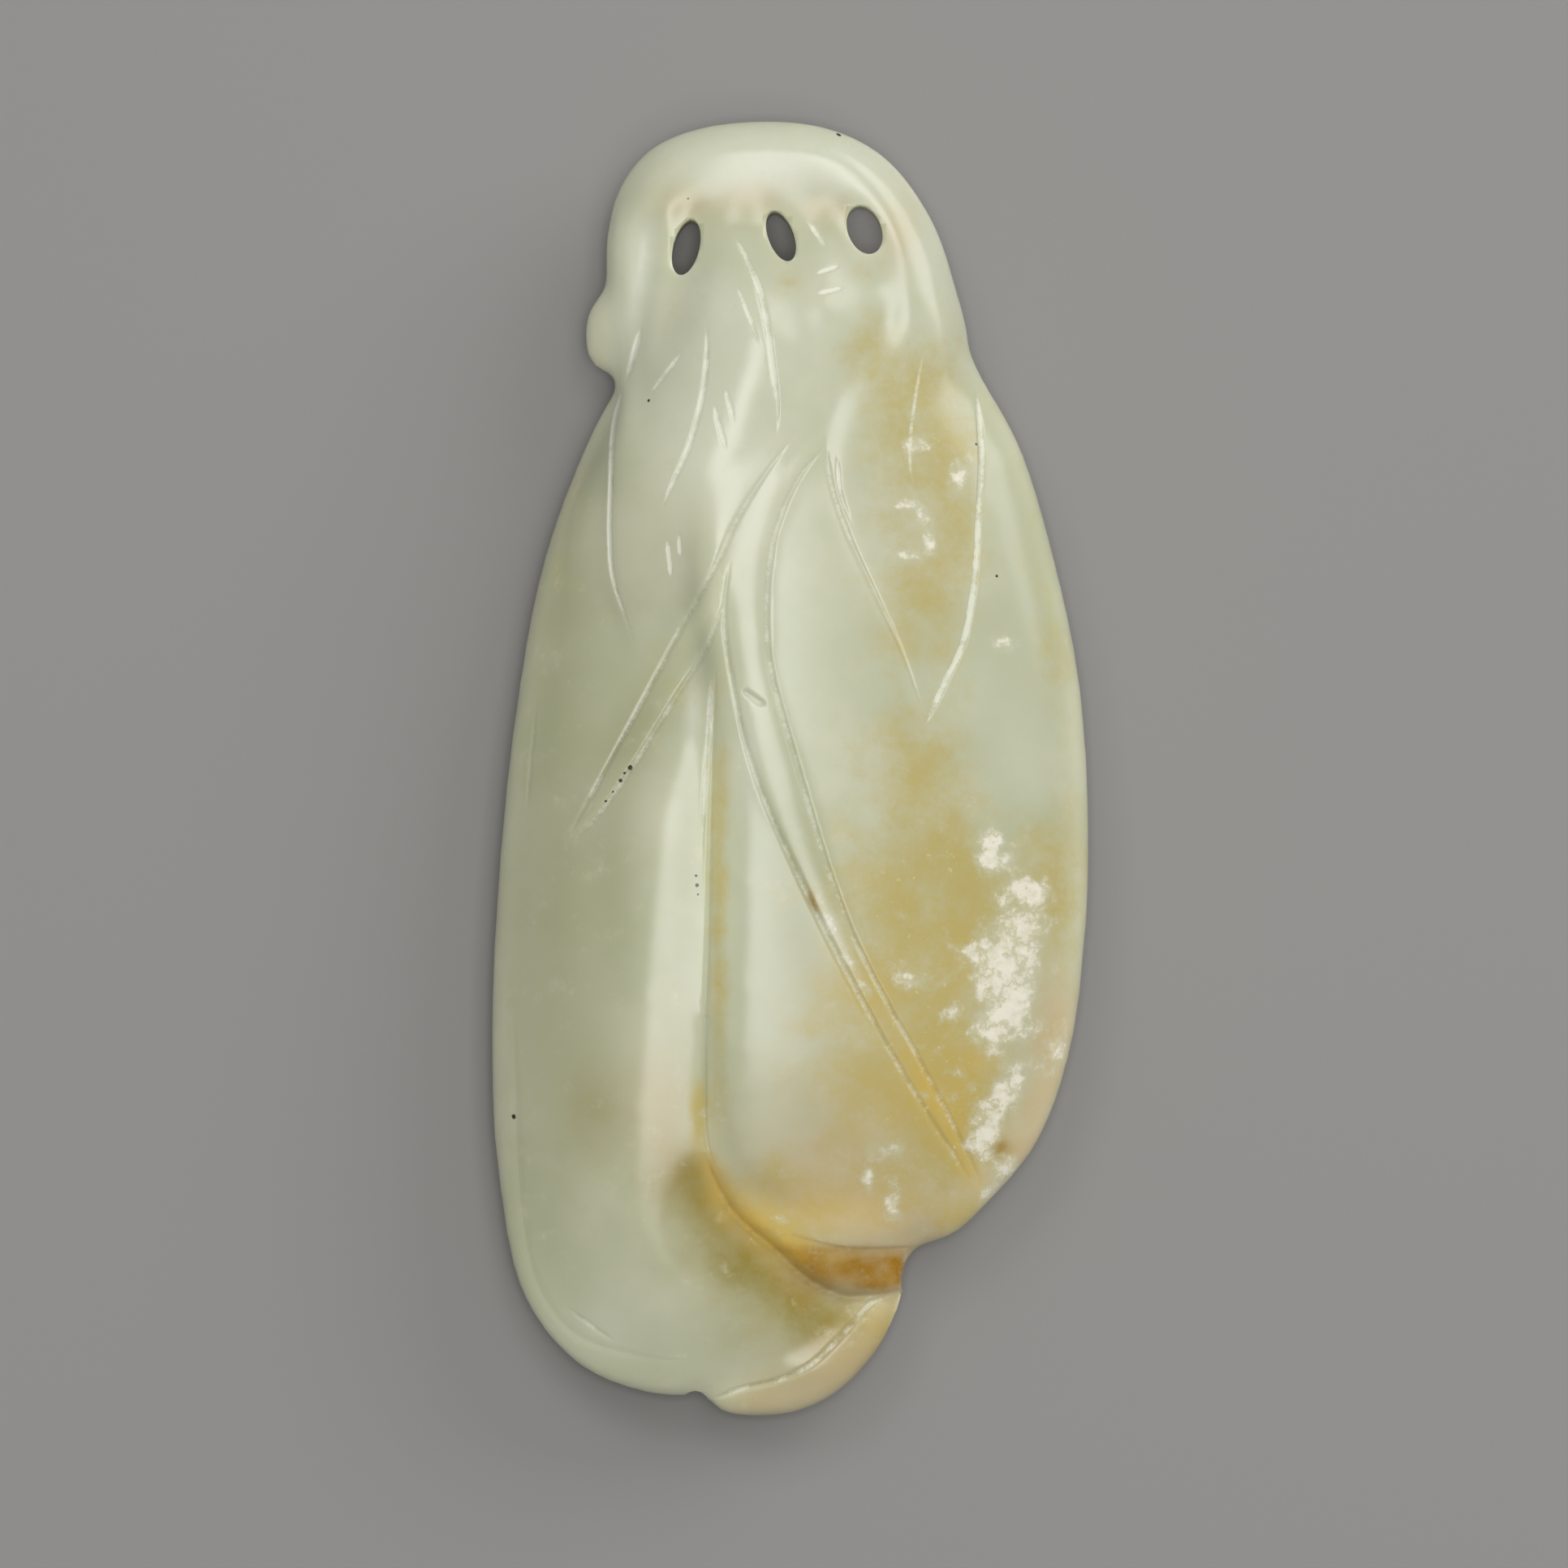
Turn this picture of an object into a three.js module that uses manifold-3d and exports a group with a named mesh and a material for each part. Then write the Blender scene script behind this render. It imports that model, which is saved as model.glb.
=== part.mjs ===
// Jade pendant, carved from one pebble as two long fruits that lie side by side under a pair of leaves.
// Their stem is bent into a loop with three pierced holes, and a third leaf curls round the lower end.
// Millimetres, +Z up: the pendant lies on its back, +Y points to the stem loop.

import * as THREE from "three";
import { mergeVertices } from "three/addons/utils/BufferGeometryUtils.js";
import Module from "manifold-3d";

const wasm = await Module();
wasm.setup();

// Driving dimensions of the pebble
const LENGTH = 70;
const THICKNESS = 12;
const GIRDLE = 0.42 * THICKNESS; // height of the widest line round the pebble
const REST_FLAT = 0.15; // taken off the back, so that the pendant lies still

// The forms of the carving. Each outline is a plan from the front, from the stem end round by the left.
// front and back are the heights above and below the girdle, and crest is the plan of the front ridge, from
// the stem end down. roof says how sharp that ridge is: 1 is a straight roof and 2 an ellipse. edge and ends
// say how full the form is at its sides, and at its lower and upper end: 2 is an ellipse, more is squarer.
// facets are the faces round the form and along it.
const LEFT_FRUIT = {
  outline: [
    [-6.5, 23.0], [-9.5, 20.4], [-11.8, 15.8], [-13.6, 10.3], [-14.9, 2.8], [-15.8, -6.2], [-16.15, -15.0],
    [-15.8, -21.8], [-14.2, -28.5], [-11.0, -32.1], [-6.6, -33.8], [-2.6, -33.4], [1.2, -32.0], [4.4, -28.9],
    [5.6, -25.0], [3.4, -17.0], [0.4, -5.0], [-1.4, 6.0], [-2.8, 17.0],
  ],
  crest: [[-4.5, 17.0], [-4.5, 5.2], [-5.4, 3.4], [-7.6, -2.3], [-8.2, -8.8], [-8.7, -23.3], [-6.6, -30.0]],
  front: 0.44 * THICKNESS, back: GIRDLE + REST_FLAT,
  roof: 1.35, edge: 2.4, ends: [2.5, 2.5], facets: [36, 26],
};
const RIGHT_FRUIT = {
  outline: [
    [3.0, 29.0], [-1.0, 27.0], [-4.6, 23.0], [-6.6, 18.0], [-7.2, 13.5], [-6.6, 9.0], [-5.8, 4.0],
    [-5.7, -1.0], [-5.9, -8.8], [-5.9, -15.4], [-5.3, -19.8], [-4.0, -22.8], [-1.0, -25.0], [2.9, -25.8],
    [6.4, -25.75], [8.7, -25.2], [11.0, -23.1], [13.2, -20.1], [15.0, -15.3], [15.9, -9.7], [16.15, -4.0],
    [15.7, 4.3], [14.4, 10.9], [12.3, 17.4], [9.9, 21.7], [8.6, 25.5], [6.2, 28.3],
  ],
  crest: [
    [1.5, 26.5], [-2.5, 22.0], [-4.4, 18.0], [-4.9, 13.1], [-4.5, 8.7], [-3.9, 4.3], [-3.6, 0], [-3.5, -17.6],
    [-2.4, -21.1], [1.7, -24.2],
  ],
  front: 0.515 * THICKNESS, back: GIRDLE + REST_FLAT,
  roof: 1.45, edge: 2.4, ends: [3.2, 4.2], facets: [40, 30],
};
// The foot of the right fruit, a sloping wall that stands on the left fruit
const FRUIT_FOOT = {
  outline: [
    [0, -15.0], [-4.6, -18.5], [-4.2, -21.6], [-3.0, -23.9], [-1.0, -25.7], [1.1, -27.4], [2.9, -28.25],
    [5.8, -28.1], [6.3, -26.8], [6.7, -25.5], [7.0, -20.0],
  ],
  crest: [[3.0, -15.0]],
  front: 0.24 * THICKNESS, back: 0.2 * THICKNESS,
  roof: 2.2, edge: 2.2, ends: [2, 2], facets: [28, 20],
};
// The stem loop with the roots of the leaves
const CROWN = {
  outline: [
    [-0.6, 34.98], [-5.0, 34.6], [-7.6, 33.3], [-9.1, 31.2], [-9.8, 28.8], [-9.9, 26.0], [-9.6, 22.7],
    [-8.4, 17.0], [-3.2, 12.0], [3.8, 12.0], [8.6, 17.0], [9.6, 23.1], [9.0, 25.8], [7.7, 29.6],
    [5.3, 32.9], [2.7, 34.4],
  ],
  crest: [[-0.3, 35.0], [0, 12.0]],
  front: 0.33 * THICKNESS, back: 0.28 * THICKNESS,
  roof: 4.4, edge: 3, ends: [4, 6], facets: [36, 24],
};
// The swelling under the left leaf, which closes the cleft between the fruits
const MANTLE = {
  outline: [
    [-0.5, 32.0], [-6.0, 30.5], [-8.0, 26.0], [-9.0, 20.8], [-11.2, 15.5], [-12.2, 11.0], [-12.0, 6.5],
    [-9.6, 3.0], [-5.6, 1.4], [-2.4, 2.6], [-0.6, 8.0], [1.4, 15.0], [3.4, 22.0], [3.4, 28.0],
  ],
  crest: [[-0.5, 30.0], [-2.0, 24.0], [-2.2, 21.5], [-3.2, 19.0], [-4.8, 15.5], [-5.0, 10.0], [-4.6, 3.5]],
  front: 0.495 * THICKNESS, back: 0.1 * THICKNESS,
  roof: 1.7, edge: 3, ends: [2, 2], facets: [30, 22],
};
const KNOB = {
  outline: [
    [-9.3, 26.3], [-10.2, 25.7], [-10.9, 24.7], [-11.1, 23.4], [-10.8, 22.0], [-9.7, 21.4], [-8.2, 21.8],
    [-7.6, 23.6], [-8.0, 25.6],
  ],
  crest: [[-9.4, 26.0]],
  front: 0.19 * THICKNESS, back: 0.16 * THICKNESS,
  roof: 3.2, edge: 2.4, ends: [2.4, 2.4], facets: [16, 12],
};
const TAIL_LEAF = {
  outline: [
    [-4.6, -33.6], [-3.7, -34.75], [-1.9, -35.0], [0.5, -34.7], [2.8, -33.5], [4.7, -31.4], [5.8, -29.2],
    [6.1, -28.0], [4.2, -26.4], [0.5, -27.6], [-2.4, -30.0], [-4.3, -32.2],
  ],
  crest: [[3.0, -26.4], [2.0, -31.0], [-2.0, -34.0]],
  front: 0.14 * THICKNESS, back: 0.3 * THICKNESS,
  roof: 2.6, edge: 2.6, ends: [2.4, 2.4], facets: [24, 18],
};
const RIDGE_MARGIN = 0.12; // least distance of a ridge from its outline, as a share of the width

// Leaves and stalks that lie over the fruits, and how far they stand proud of them
const LEAF_RISE = 0.5;
const STALK_RISE = 0.75;
const LEAVES = [
  [
    [-7.6, 25.5], [-8.7, 21.5], [-9.4, 18.3], [-9.8, 13.1], [-9.3, 9.3], [-8.4, 6.5], [-7.3, 7.4],
    [-5.6, 8.7], [-3.6, 11.9], [-1.7, 15.3], [0.5, 18.3], [2.4, 22.0], [1.5, 25.5],
  ],
  [
    [5.9, 25.5], [3.8, 22.3], [2.2, 19.4], [1.9, 17.4], [2.9, 13.0], [4.7, 9.1], [6.0, 6.3], [7.3, 2.6],
    [8.9, 5.8], [9.8, 10.0], [10.2, 14.5], [9.9, 20.6], [8.5, 25.0],
  ],
];
const STALKS = [
  [
    [0.5, 18.3], [-1.7, 15.3], [-3.9, 11.1], [-5.6, 8.0], [-7.4, 4.7], [-10.0, -0.1], [-11.9, -3.8],
    [-10.2, -2.3], [-8.5, 0.1], [-6.3, 3.6], [-4.5, 6.5], [-3.3, 9.3], [-1.4, 13.2],
  ],
  [
    [2.8, 18.8], [-1.7, 14.5], [-3.2, 11.3], [-3.4, 6.5], [-2.1, 0.4], [1.1, -7.1], [5.5, -15.4],
    [10.4, -23.2], [7.5, -16.7], [3.3, -8.8], [0.3, 0.4], [-1.2, 6.5], [-1.0, 11.8], [0.5, 15.7],
  ],
];

// Lines cut into the front with a narrow round wheel: leaf ribs, the edge of a leaf, and the tail leaf's edge
const CUT = { radius: 0.5, depth: 0.4, step: 1.8, halfSides: 3 };
const CUT_PLANS = [
  [[-3.0, 28.0], [-1.7, 25.8], [-1.0, 21.8], [-0.8, 17.9]],
  [[-4.5, 24.2], [-4.8, 19.6], [-7.0, 13.7]],
  [[6.2, 26.6], [5.4, 24.2], [2.2, 19.4], [1.9, 17.4]],
  [[-4.0, -33.8], [-0.6, -32.9], [2.9, -30.4], [5.4, -28.3]],
];

// Pierced holes under the stem: centre, half width and half length, and lean from the long axis in degrees
const HOLES = [
  { at: [-5.6, 28.1], half: [0.72, 1.55], lean: -13 },
  { at: [-0.5, 28.7], half: [0.7, 1.45], lean: 19 },
  { at: [4.0, 29.05], half: [0.92, 1.37], lean: 19 },
];
const HOLE_SIDES = 16;
const MOUTH = { spread: 2.3, depth: 1.0, rows: 8 }; // the hollow round each end of a hole
// The hollow in the left fruit below the right fruit's foot
const HOLLOW = { at: [2.8, -26.7, 14.7], half: [10.5, 6.8, 8.0], lean: -28, facets: [28, 20] };

const OUTLINE_POINTS = 360; // on the outline of a rounded form
const LEAF_POINTS = 3; // from each point of a leaf's outline to the next
const WELD = 1e-5;

function weld(geometry) {
  geometry.deleteAttribute("normal");
  geometry.deleteAttribute("uv");
  return mergeVertices(geometry, WELD);
}

function solidFrom(geometry) {
  const welded = weld(geometry);
  return new wasm.Manifold(
    new wasm.Mesh({
      numProp: 3,
      vertProperties: welded.attributes.position.array,
      triVerts: new Uint32Array(welded.index.array),
    }),
  );
}

function geometryFrom(solid) {
  const { vertProperties, triVerts } = solid.getMesh();
  return new THREE.BufferGeometry()
    .setAttribute("position", new THREE.BufferAttribute(vertProperties, 3))
    .setIndex(new THREE.BufferAttribute(triVerts, 1));
}

const smoothPlan = (points, closed) =>
  new THREE.CatmullRomCurve3(points.map(([x, y]) => new THREE.Vector3(x, y, 0)), closed);

// The two ends, in x, of an outline's stretch at one y.
function spanAt(ring, y) {
  const crossings = [];
  ring.forEach((a, i) => {
    const b = ring[(i + 1) % ring.length];
    const crosses = a.y !== b.y && (a.y - y) * (b.y - y) <= 0;
    if (crosses) crossings.push(a.x + ((b.x - a.x) * (y - a.y)) / (b.y - a.y));
  });
  return [Math.min(...crossings), Math.max(...crossings)];
}

// The x of a ridge at one y.
function ridgeAt(crest, y) {
  const below = crest.findIndex((point) => point[1] <= y);
  if (below === 0) return crest[0][0];
  if (below < 0) return crest.at(-1)[0];
  const [[x0, y0], [x1, y1]] = crest.slice(below - 1, below + 1);
  return THREE.MathUtils.mapLinear(y, y0, y1, x0, x1);
}

// A rounded form over an outline: a sphere whose parallels become cross-sections of the form.
function roundedForm(form, rise = 0) {
  const ring = smoothPlan(form.outline, true).getPoints(OUTLINE_POINTS).slice(1);
  const top = Math.max(...ring.map((p) => p.y));
  const bottom = Math.min(...ring.map((p) => p.y));
  const sphere = weld(new THREE.SphereGeometry(1, ...form.facets));
  const place = sphere.attributes.position;
  for (let i = 0; i < place.count; i++) {
    const along = THREE.MathUtils.clamp(place.getY(i), -1, 1);
    const girth = Math.sqrt(1 - along * along);
    const turn = Math.atan2(place.getZ(i), place.getX(i));
    const isFront = Math.sin(turn) > 0;
    const y = THREE.MathUtils.lerp(bottom, top, (along + 1) / 2);
    const [left, right] = spanAt(ring, y);
    const margin = RIDGE_MARGIN * (right - left);
    const crest = THREE.MathUtils.clamp(ridgeAt(form.crest, y), left + margin, right - margin);
    const ridge = isFront ? crest : (left + right) / 2;
    const across = Math.abs(Math.cos(turn));
    const x = ridge + across * ((Math.cos(turn) < 0 ? left : right) - ridge);
    const fullness = isFront ? (1 - across ** form.roof) ** (1 / form.edge) : Math.abs(Math.sin(turn));
    const height = fullness * girth ** (2 / form.ends[along < 0 ? 0 : 1]);
    place.setXYZ(i, x, y, GIRDLE + height * (isFront ? form.front + rise : -form.back));
  }
  return solidFrom(sphere);
}

function placed(geometry, { at, lean }) {
  return geometry.rotateZ(THREE.MathUtils.degToRad(lean)).translate(at[0], at[1], at[2] ?? 0);
}

function ellipsoid(half, facets) {
  return new THREE.SphereGeometry(1, ...facets).scale(...half);
}

// A straight prism over an outline, from the girdle to well above the front.
function prism(outline) {
  const plan = smoothPlan(outline, true).getPoints(LEAF_POINTS * outline.length);
  const shape = new THREE.Shape(plan.map((p) => new THREE.Vector2(p.x, p.y)));
  const geometry = new THREE.ExtrudeGeometry(shape, { depth: THICKNESS, bevelEnabled: false });
  return solidFrom(geometry.translate(0, 0, GIRDLE));
}

// An elliptical hole right through, with a hollow round each mouth.
function piercing(hole) {
  const bore = new THREE.CylinderGeometry(1, 1, 3 * THICKNESS, HOLE_SIDES).rotateX(Math.PI / 2);
  let cut = solidFrom(placed(bore.scale(...hole.half, 1), hole));
  for (const height of [GIRDLE + CROWN.front, GIRDLE - CROWN.back]) {
    const half = [...hole.half.map((h) => h * MOUTH.spread), MOUTH.depth];
    const mouth = ellipsoid(half, [HOLE_SIDES, MOUTH.rows]);
    cut = cut.add(solidFrom(placed(mouth, hole).translate(0, 0, height)));
  }
  return cut;
}

// A line cut along a plan: a round groove that follows the surface and runs out at both ends.
function incision(surface, plan) {
  const curve = smoothPlan(plan, false);
  const steps = Math.ceil(curve.getLength() / CUT.step);
  const ray = new THREE.Raycaster();
  const path = curve.getSpacedPoints(steps).map((point, i) => {
    ray.set(point.setZ(2 * THICKNESS), new THREE.Vector3(0, 0, -1));
    const [hit] = ray.intersectObject(surface);
    const isEnd = i === 0 || i === steps;
    return hit.point.setZ(hit.point.z + CUT.radius - (isEnd ? 0 : CUT.depth));
  });
  const section = new THREE.Shape().absarc(0, 0, CUT.radius, 0, 2 * Math.PI);
  const tube = new THREE.ExtrudeGeometry(section, {
    steps,
    curveSegments: CUT.halfSides,
    extrudePath: new THREE.CatmullRomCurve3(path),
    bevelEnabled: false,
  });
  return solidFrom(tube);
}

const joined = (solids) => solids.reduce((a, b) => a.add(b));
const cutAway = (body, cutters) => cutters.reduce((a, b) => a.subtract(b), body);

function carve() {
  const hollow = solidFrom(placed(ellipsoid(HOLLOW.half, HOLLOW.facets), HOLLOW));
  const lower = joined([LEFT_FRUIT, TAIL_LEAF].map((form) => roundedForm(form))).subtract(hollow);
  const upper = [RIGHT_FRUIT, FRUIT_FOOT, CROWN, MANTLE, KNOB].map((form) => roundedForm(form));
  const reliefs = [[LEAVES, LEAF_RISE], [STALKS, STALK_RISE]].map(([outlines, rise]) => {
    const proud = joined([LEFT_FRUIT, RIGHT_FRUIT, MANTLE].map((form) => roundedForm(form, rise)));
    return joined(outlines.map(prism)).intersect(proud);
  });
  const pierced = cutAway(joined([lower, ...upper, ...reliefs]), HOLES.map(piercing));
  const surface = new THREE.Mesh(geometryFrom(pierced), new THREE.MeshBasicMaterial());
  const lined = cutAway(pierced, CUT_PLANS.map((plan) => incision(surface, plan)));
  const ground = new THREE.BoxGeometry(2 * LENGTH, 2 * LENGTH, THICKNESS).translate(0, 0, -THICKNESS / 2);
  return lined.subtract(solidFrom(ground));
}

const jade = new THREE.MeshStandardMaterial({ color: 0xc9c9a4, roughness: 0.25, metalness: 0 });
const carving = new THREE.Mesh(geometryFrom(carve()), jade);
carving.name = "jade_carving";

const pendant = new THREE.Group();
pendant.add(carving);

export default pendant;
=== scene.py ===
"""Jade pendant of two long fruits under a pair of leaves, carved and pierced from one pebble.

The forms are modelled in millimetres, joined into one skin, carved from the front, and then brought to
metres in the frame of the solid that they stand for.
"""

import math
from functools import partial

import bmesh
import bpy
import numpy as np
from bpy.props import FloatProperty, FloatVectorProperty, PointerProperty
from mathutils import Matrix, Vector


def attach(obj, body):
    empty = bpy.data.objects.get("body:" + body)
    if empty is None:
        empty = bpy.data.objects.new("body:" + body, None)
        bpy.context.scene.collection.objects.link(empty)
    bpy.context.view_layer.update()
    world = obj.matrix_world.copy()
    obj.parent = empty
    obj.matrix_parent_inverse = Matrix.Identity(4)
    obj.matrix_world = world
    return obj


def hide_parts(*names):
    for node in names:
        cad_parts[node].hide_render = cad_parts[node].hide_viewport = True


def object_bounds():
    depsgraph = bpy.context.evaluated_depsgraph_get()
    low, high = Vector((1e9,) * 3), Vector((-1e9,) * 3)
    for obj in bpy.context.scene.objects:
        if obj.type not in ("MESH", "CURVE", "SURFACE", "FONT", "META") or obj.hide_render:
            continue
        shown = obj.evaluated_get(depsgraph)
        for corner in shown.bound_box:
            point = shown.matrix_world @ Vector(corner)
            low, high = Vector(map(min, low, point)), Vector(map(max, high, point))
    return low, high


bl_info = {
    "name": "Jade Fruit Pendant",
    "version": (1, 0, 0),
    "blender": (4, 5, 0),
    "location": "View3D > Sidebar > Jade",
    "description": "Carves a pierced jade pendant of two fruits and sets a studio round it",
    "category": "Add Mesh",
}

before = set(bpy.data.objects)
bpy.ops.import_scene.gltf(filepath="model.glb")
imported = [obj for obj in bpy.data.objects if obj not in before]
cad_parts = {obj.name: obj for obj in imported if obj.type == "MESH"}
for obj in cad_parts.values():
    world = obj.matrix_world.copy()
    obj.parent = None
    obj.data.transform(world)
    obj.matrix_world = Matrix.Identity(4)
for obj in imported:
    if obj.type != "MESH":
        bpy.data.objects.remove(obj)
CAD_LOW, CAD_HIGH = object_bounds()
NODE = "jade_carving"
MM = 0.001
DRAWN_LENGTH = 70.0  # the length that every plan and height below is drawn for, in millimetres
GIRDLE = 5.04  # height of the widest line round the pebble
FACING = (0.05, 0.4)  # upward share of the normal over which skin turns from side to face
ON_FACE = 0.5  # front share from which skin counts as face
TINY = 1e-9
RIDGE_MARGIN = 0.12  # least share of a form's width between its ridge and either edge
OUTLINE_STEPS = 24  # points between two knots of a form's outline

# The forms of the carving, from the front. front and back are heights above and below the girdle, and crest
# is the plan of the front ridge. roof says how sharp the ridge is: 1 is a straight roof, 2 an ellipse.
# edge and ends say how full the form is at its sides, its lower and its upper end: 2 is an ellipse, and
# more is squarer. covered takes the place of the last points of the outline on the front, where the form
# runs on under its neighbour.
LEFT_FRUIT = dict(
    outline=[
        (-6.5, 23.0), (-9.5, 20.4), (-11.8, 15.8), (-13.6, 10.3), (-14.9, 2.8), (-15.8, -6.2),
        (-16.15, -15.0), (-15.8, -21.8), (-14.35, -28.6), (-11.2, -32.35), (-6.6, -33.85), (-2.6, -33.4),
        (1.2, -32.0), (4.4, -28.9), (5.6, -25.0), (3.4, -17.0), (0.4, -5.0), (-1.4, 6.0), (-2.8, 17.0),
    ],
    covered=[(6.4, -25.0), (9.2, -17.0), (8.2, -5.0), (4.7, 6.0), (0.0, 17.0)],
    crest=[
        (-4.5, 17.0), (-4.5, 5.2), (-5.0, 3.4), (-7.0, -2.3), (-7.7, -8.8), (-8.4, -17.6), (-8.6, -23.3),
        (-6.6, -30.0),
    ],
    front=5.3, back=5.19, roof=1.25, edge=2.4, ends=(2.5, 2.5),
)
RIGHT_FRUIT = dict(
    outline=[
        (3.0, 29.0), (-1.0, 27.0), (-4.6, 23.0), (-6.6, 18.0), (-7.2, 13.5), (-6.6, 9.0), (-5.6, 4.0),
        (-5.4, -1.0), (-5.55, -8.8), (-5.55, -15.4), (-5.0, -19.8), (-4.0, -22.8), (-1.0, -25.0),
        (2.9, -25.8), (6.4, -25.75), (8.7, -25.2), (11.0, -23.1), (13.35, -20.2), (15.1, -15.4),
        (15.9, -9.7), (16.15, -4.0), (15.7, 4.3), (14.4, 10.9), (12.4, 17.5), (10.05, 21.8), (8.6, 25.5),
        (6.2, 28.3),
    ],
    crest=[
        (1.5, 26.5), (-2.5, 22.0), (-4.4, 18.0), (-4.9, 13.1), (-4.5, 8.7), (-3.9, 4.3), (-3.6, 0.0),
        (-3.5, -17.6), (-2.4, -21.1), (1.7, -24.2),
    ],
    front=6.36, back=5.19, roof=1.45, edge=2.4, ends=(3.2, 4.2),
)
FRUIT_FOOT = dict(
    outline=[
        (0.0, -15.0), (-4.6, -18.5), (-4.2, -21.6), (-3.0, -23.9), (-1.0, -25.7), (1.1, -27.4),
        (2.9, -28.25), (5.8, -28.1), (6.3, -26.8), (6.7, -25.5), (7.0, -20.0),
    ],
    crest=[(3.0, -15.0), (3.0, -28.0)], front=2.9, back=2.4, roof=2.2, edge=2.2, ends=(2.0, 2.0),
)
CROWN = dict(
    outline=[
        (-0.6, 34.98), (-5.0, 34.6), (-7.7, 33.4), (-9.25, 31.35), (-9.9, 28.8), (-9.9, 26.0), (-9.6, 22.7),
        (-8.4, 17.0), (-3.2, 12.0), (3.8, 12.0), (8.6, 17.0), (9.6, 23.1), (9.0, 25.8), (7.7, 29.6),
        (5.3, 32.9), (2.7, 34.4),
    ],
    crest=[(-0.3, 35.0), (0.0, 12.0)], front=3.96, back=3.36, roof=4.4, edge=3.0, ends=(4.0, 6.0),
)
# The swelling under the leaves, which bridges the cleft between the fruits
MANTLE = dict(
    outline=[
        (-0.5, 32.0), (-6.0, 30.5), (-8.0, 26.0), (-9.0, 20.8), (-11.2, 15.5), (-12.2, 11.0), (-11.9, 7.2),
        (-9.4, 4.2), (-5.6, 2.8), (-2.4, 3.8), (-0.6, 8.4), (1.4, 15.0), (3.4, 22.0), (3.4, 28.0),
    ],
    crest=[(-0.5, 30.0), (-2.0, 24.0), (-2.2, 21.5), (-3.2, 19.0), (-4.8, 15.5), (-5.0, 10.0), (-4.6, 3.5)],
    front=5.98, back=1.2, roof=1.7, edge=3.0, ends=(2.0, 2.0),
)
KNOB = dict(
    outline=[
        (-9.3, 26.3), (-10.2, 25.7), (-10.9, 24.7), (-11.1, 23.4), (-10.8, 22.0), (-9.7, 21.4),
        (-8.2, 21.8), (-7.6, 23.6), (-8.0, 25.6),
    ],
    crest=[(-9.4, 26.0), (-9.4, 21.0)], front=2.3, back=1.9, roof=3.2, edge=2.4, ends=(2.4, 2.4),
)
TAIL_LEAF = dict(
    outline=[
        (-4.6, -33.6), (-3.7, -34.75), (-1.9, -35.0), (0.5, -34.7), (2.8, -33.5), (4.7, -31.4),
        (5.8, -29.2), (6.1, -28.0), (4.2, -26.4), (0.5, -27.6), (-2.4, -30.0), (-4.3, -32.2),
    ],
    crest=[(3.0, -26.4), (2.0, -31.0), (-2.0, -34.0)], front=1.68, back=3.6, roof=2.6, edge=2.6,
    ends=(2.4, 2.4),
)
FORMS = [LEFT_FRUIT, RIGHT_FRUIT, FRUIT_FOOT, CROWN, MANTLE, KNOB, TAIL_LEAF]

# The leaves and stalks, raised from the fruits over these distances into their outlines. The stalks run out
# between these places along the pendant.
LEAF_EDGE = (-0.5, 0.5)
STALK_EDGE = (-0.2, 0.4)
STALK_END = (-16.0, 0.0)
LEAVES = [
    [
        (-7.6, 25.5), (-8.7, 21.5), (-9.4, 18.3), (-9.8, 13.1), (-9.3, 9.3), (-8.4, 6.5), (-7.3, 7.4),
        (-5.6, 8.7), (-3.6, 11.9), (-1.7, 15.3), (0.5, 18.3), (2.4, 22.0), (1.5, 25.5),
    ],
    [
        (3.0, 26.0), (2.0, 22.6), (1.2, 19.6), (1.9, 17.4), (2.9, 13.0), (4.7, 9.1), (6.0, 6.3), (7.3, 2.6),
        (8.9, 5.8), (9.8, 10.0), (10.2, 14.5), (9.9, 20.6), (8.5, 25.0),
    ],
]
LEAF_SHARES = (1.0, 0.4)  # how much of the leaves' rise each of them has
STALKS = [
    [
        (0.5, 18.3), (-1.7, 15.3), (-3.9, 11.1), (-5.6, 8.0), (-7.4, 4.7), (-10.0, -0.1), (-11.9, -3.8),
        (-10.2, -2.3), (-8.5, 0.1), (-6.3, 3.6), (-4.5, 6.5), (-3.3, 9.3), (-1.4, 13.2),
    ],
    [
        (2.8, 18.8), (-1.7, 14.5), (-3.2, 11.3), (-3.4, 6.5), (-2.1, 0.4), (1.1, -7.1), (5.5, -15.4),
        (10.4, -23.2), (7.5, -16.7), (3.3, -8.8), (0.3, 0.4), (-1.2, 6.5), (-1.0, 11.8), (0.5, 15.7),
    ],
]

# Pierced holes: centre, half width and half length, and lean from the long axis in degrees
HOLES = [
    dict(at=(-5.6, 28.1), half=(0.72, 1.55), lean=-13.0),
    dict(at=(-0.5, 28.7), half=(0.70, 1.45), lean=19.0),
    dict(at=(4.0, 29.05), half=(0.92, 1.37), lean=19.0),
]

# The nick between the left fruit and the tail leaf
NOTCH = dict(at=(-5.15, -34.35), half=(0.75, 0.8))
BORE_LENGTH = 40.0  # of the rods that cut the holes and the nick

# Hollows: centre, half width and half length, lean from the long axis in degrees, depth
HOLLOWS = [
    (-6.0, 26.2, 1.95, 4.6, -10.0, 0.42), (-0.6, 26.9, 2.1, 4.6, 19.0, 0.34),
    (3.9, 27.0, 2.3, 4.6, 19.0, 0.28),
]
HOLLOW_BOWL = 1.2  # how the hollows fall off to their rims, where more is narrower
MOUTH_BOWL = 1.5  # the same for the mouths of the holes on the back

# The ground within the stem loop's rolled rim: distances from the outline over which it falls, its depth,
# and the places along the pendant over which it sets in. It also leans down to the right of a place across.
RIM = dict(inner=1.5, outer=4.0, depth=0.52, starts=(25.0, 30.0))
LOOP_LEAN = dict(slope=0.027, right_of=-6.0, starts=(26.0, 31.0))

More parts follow.
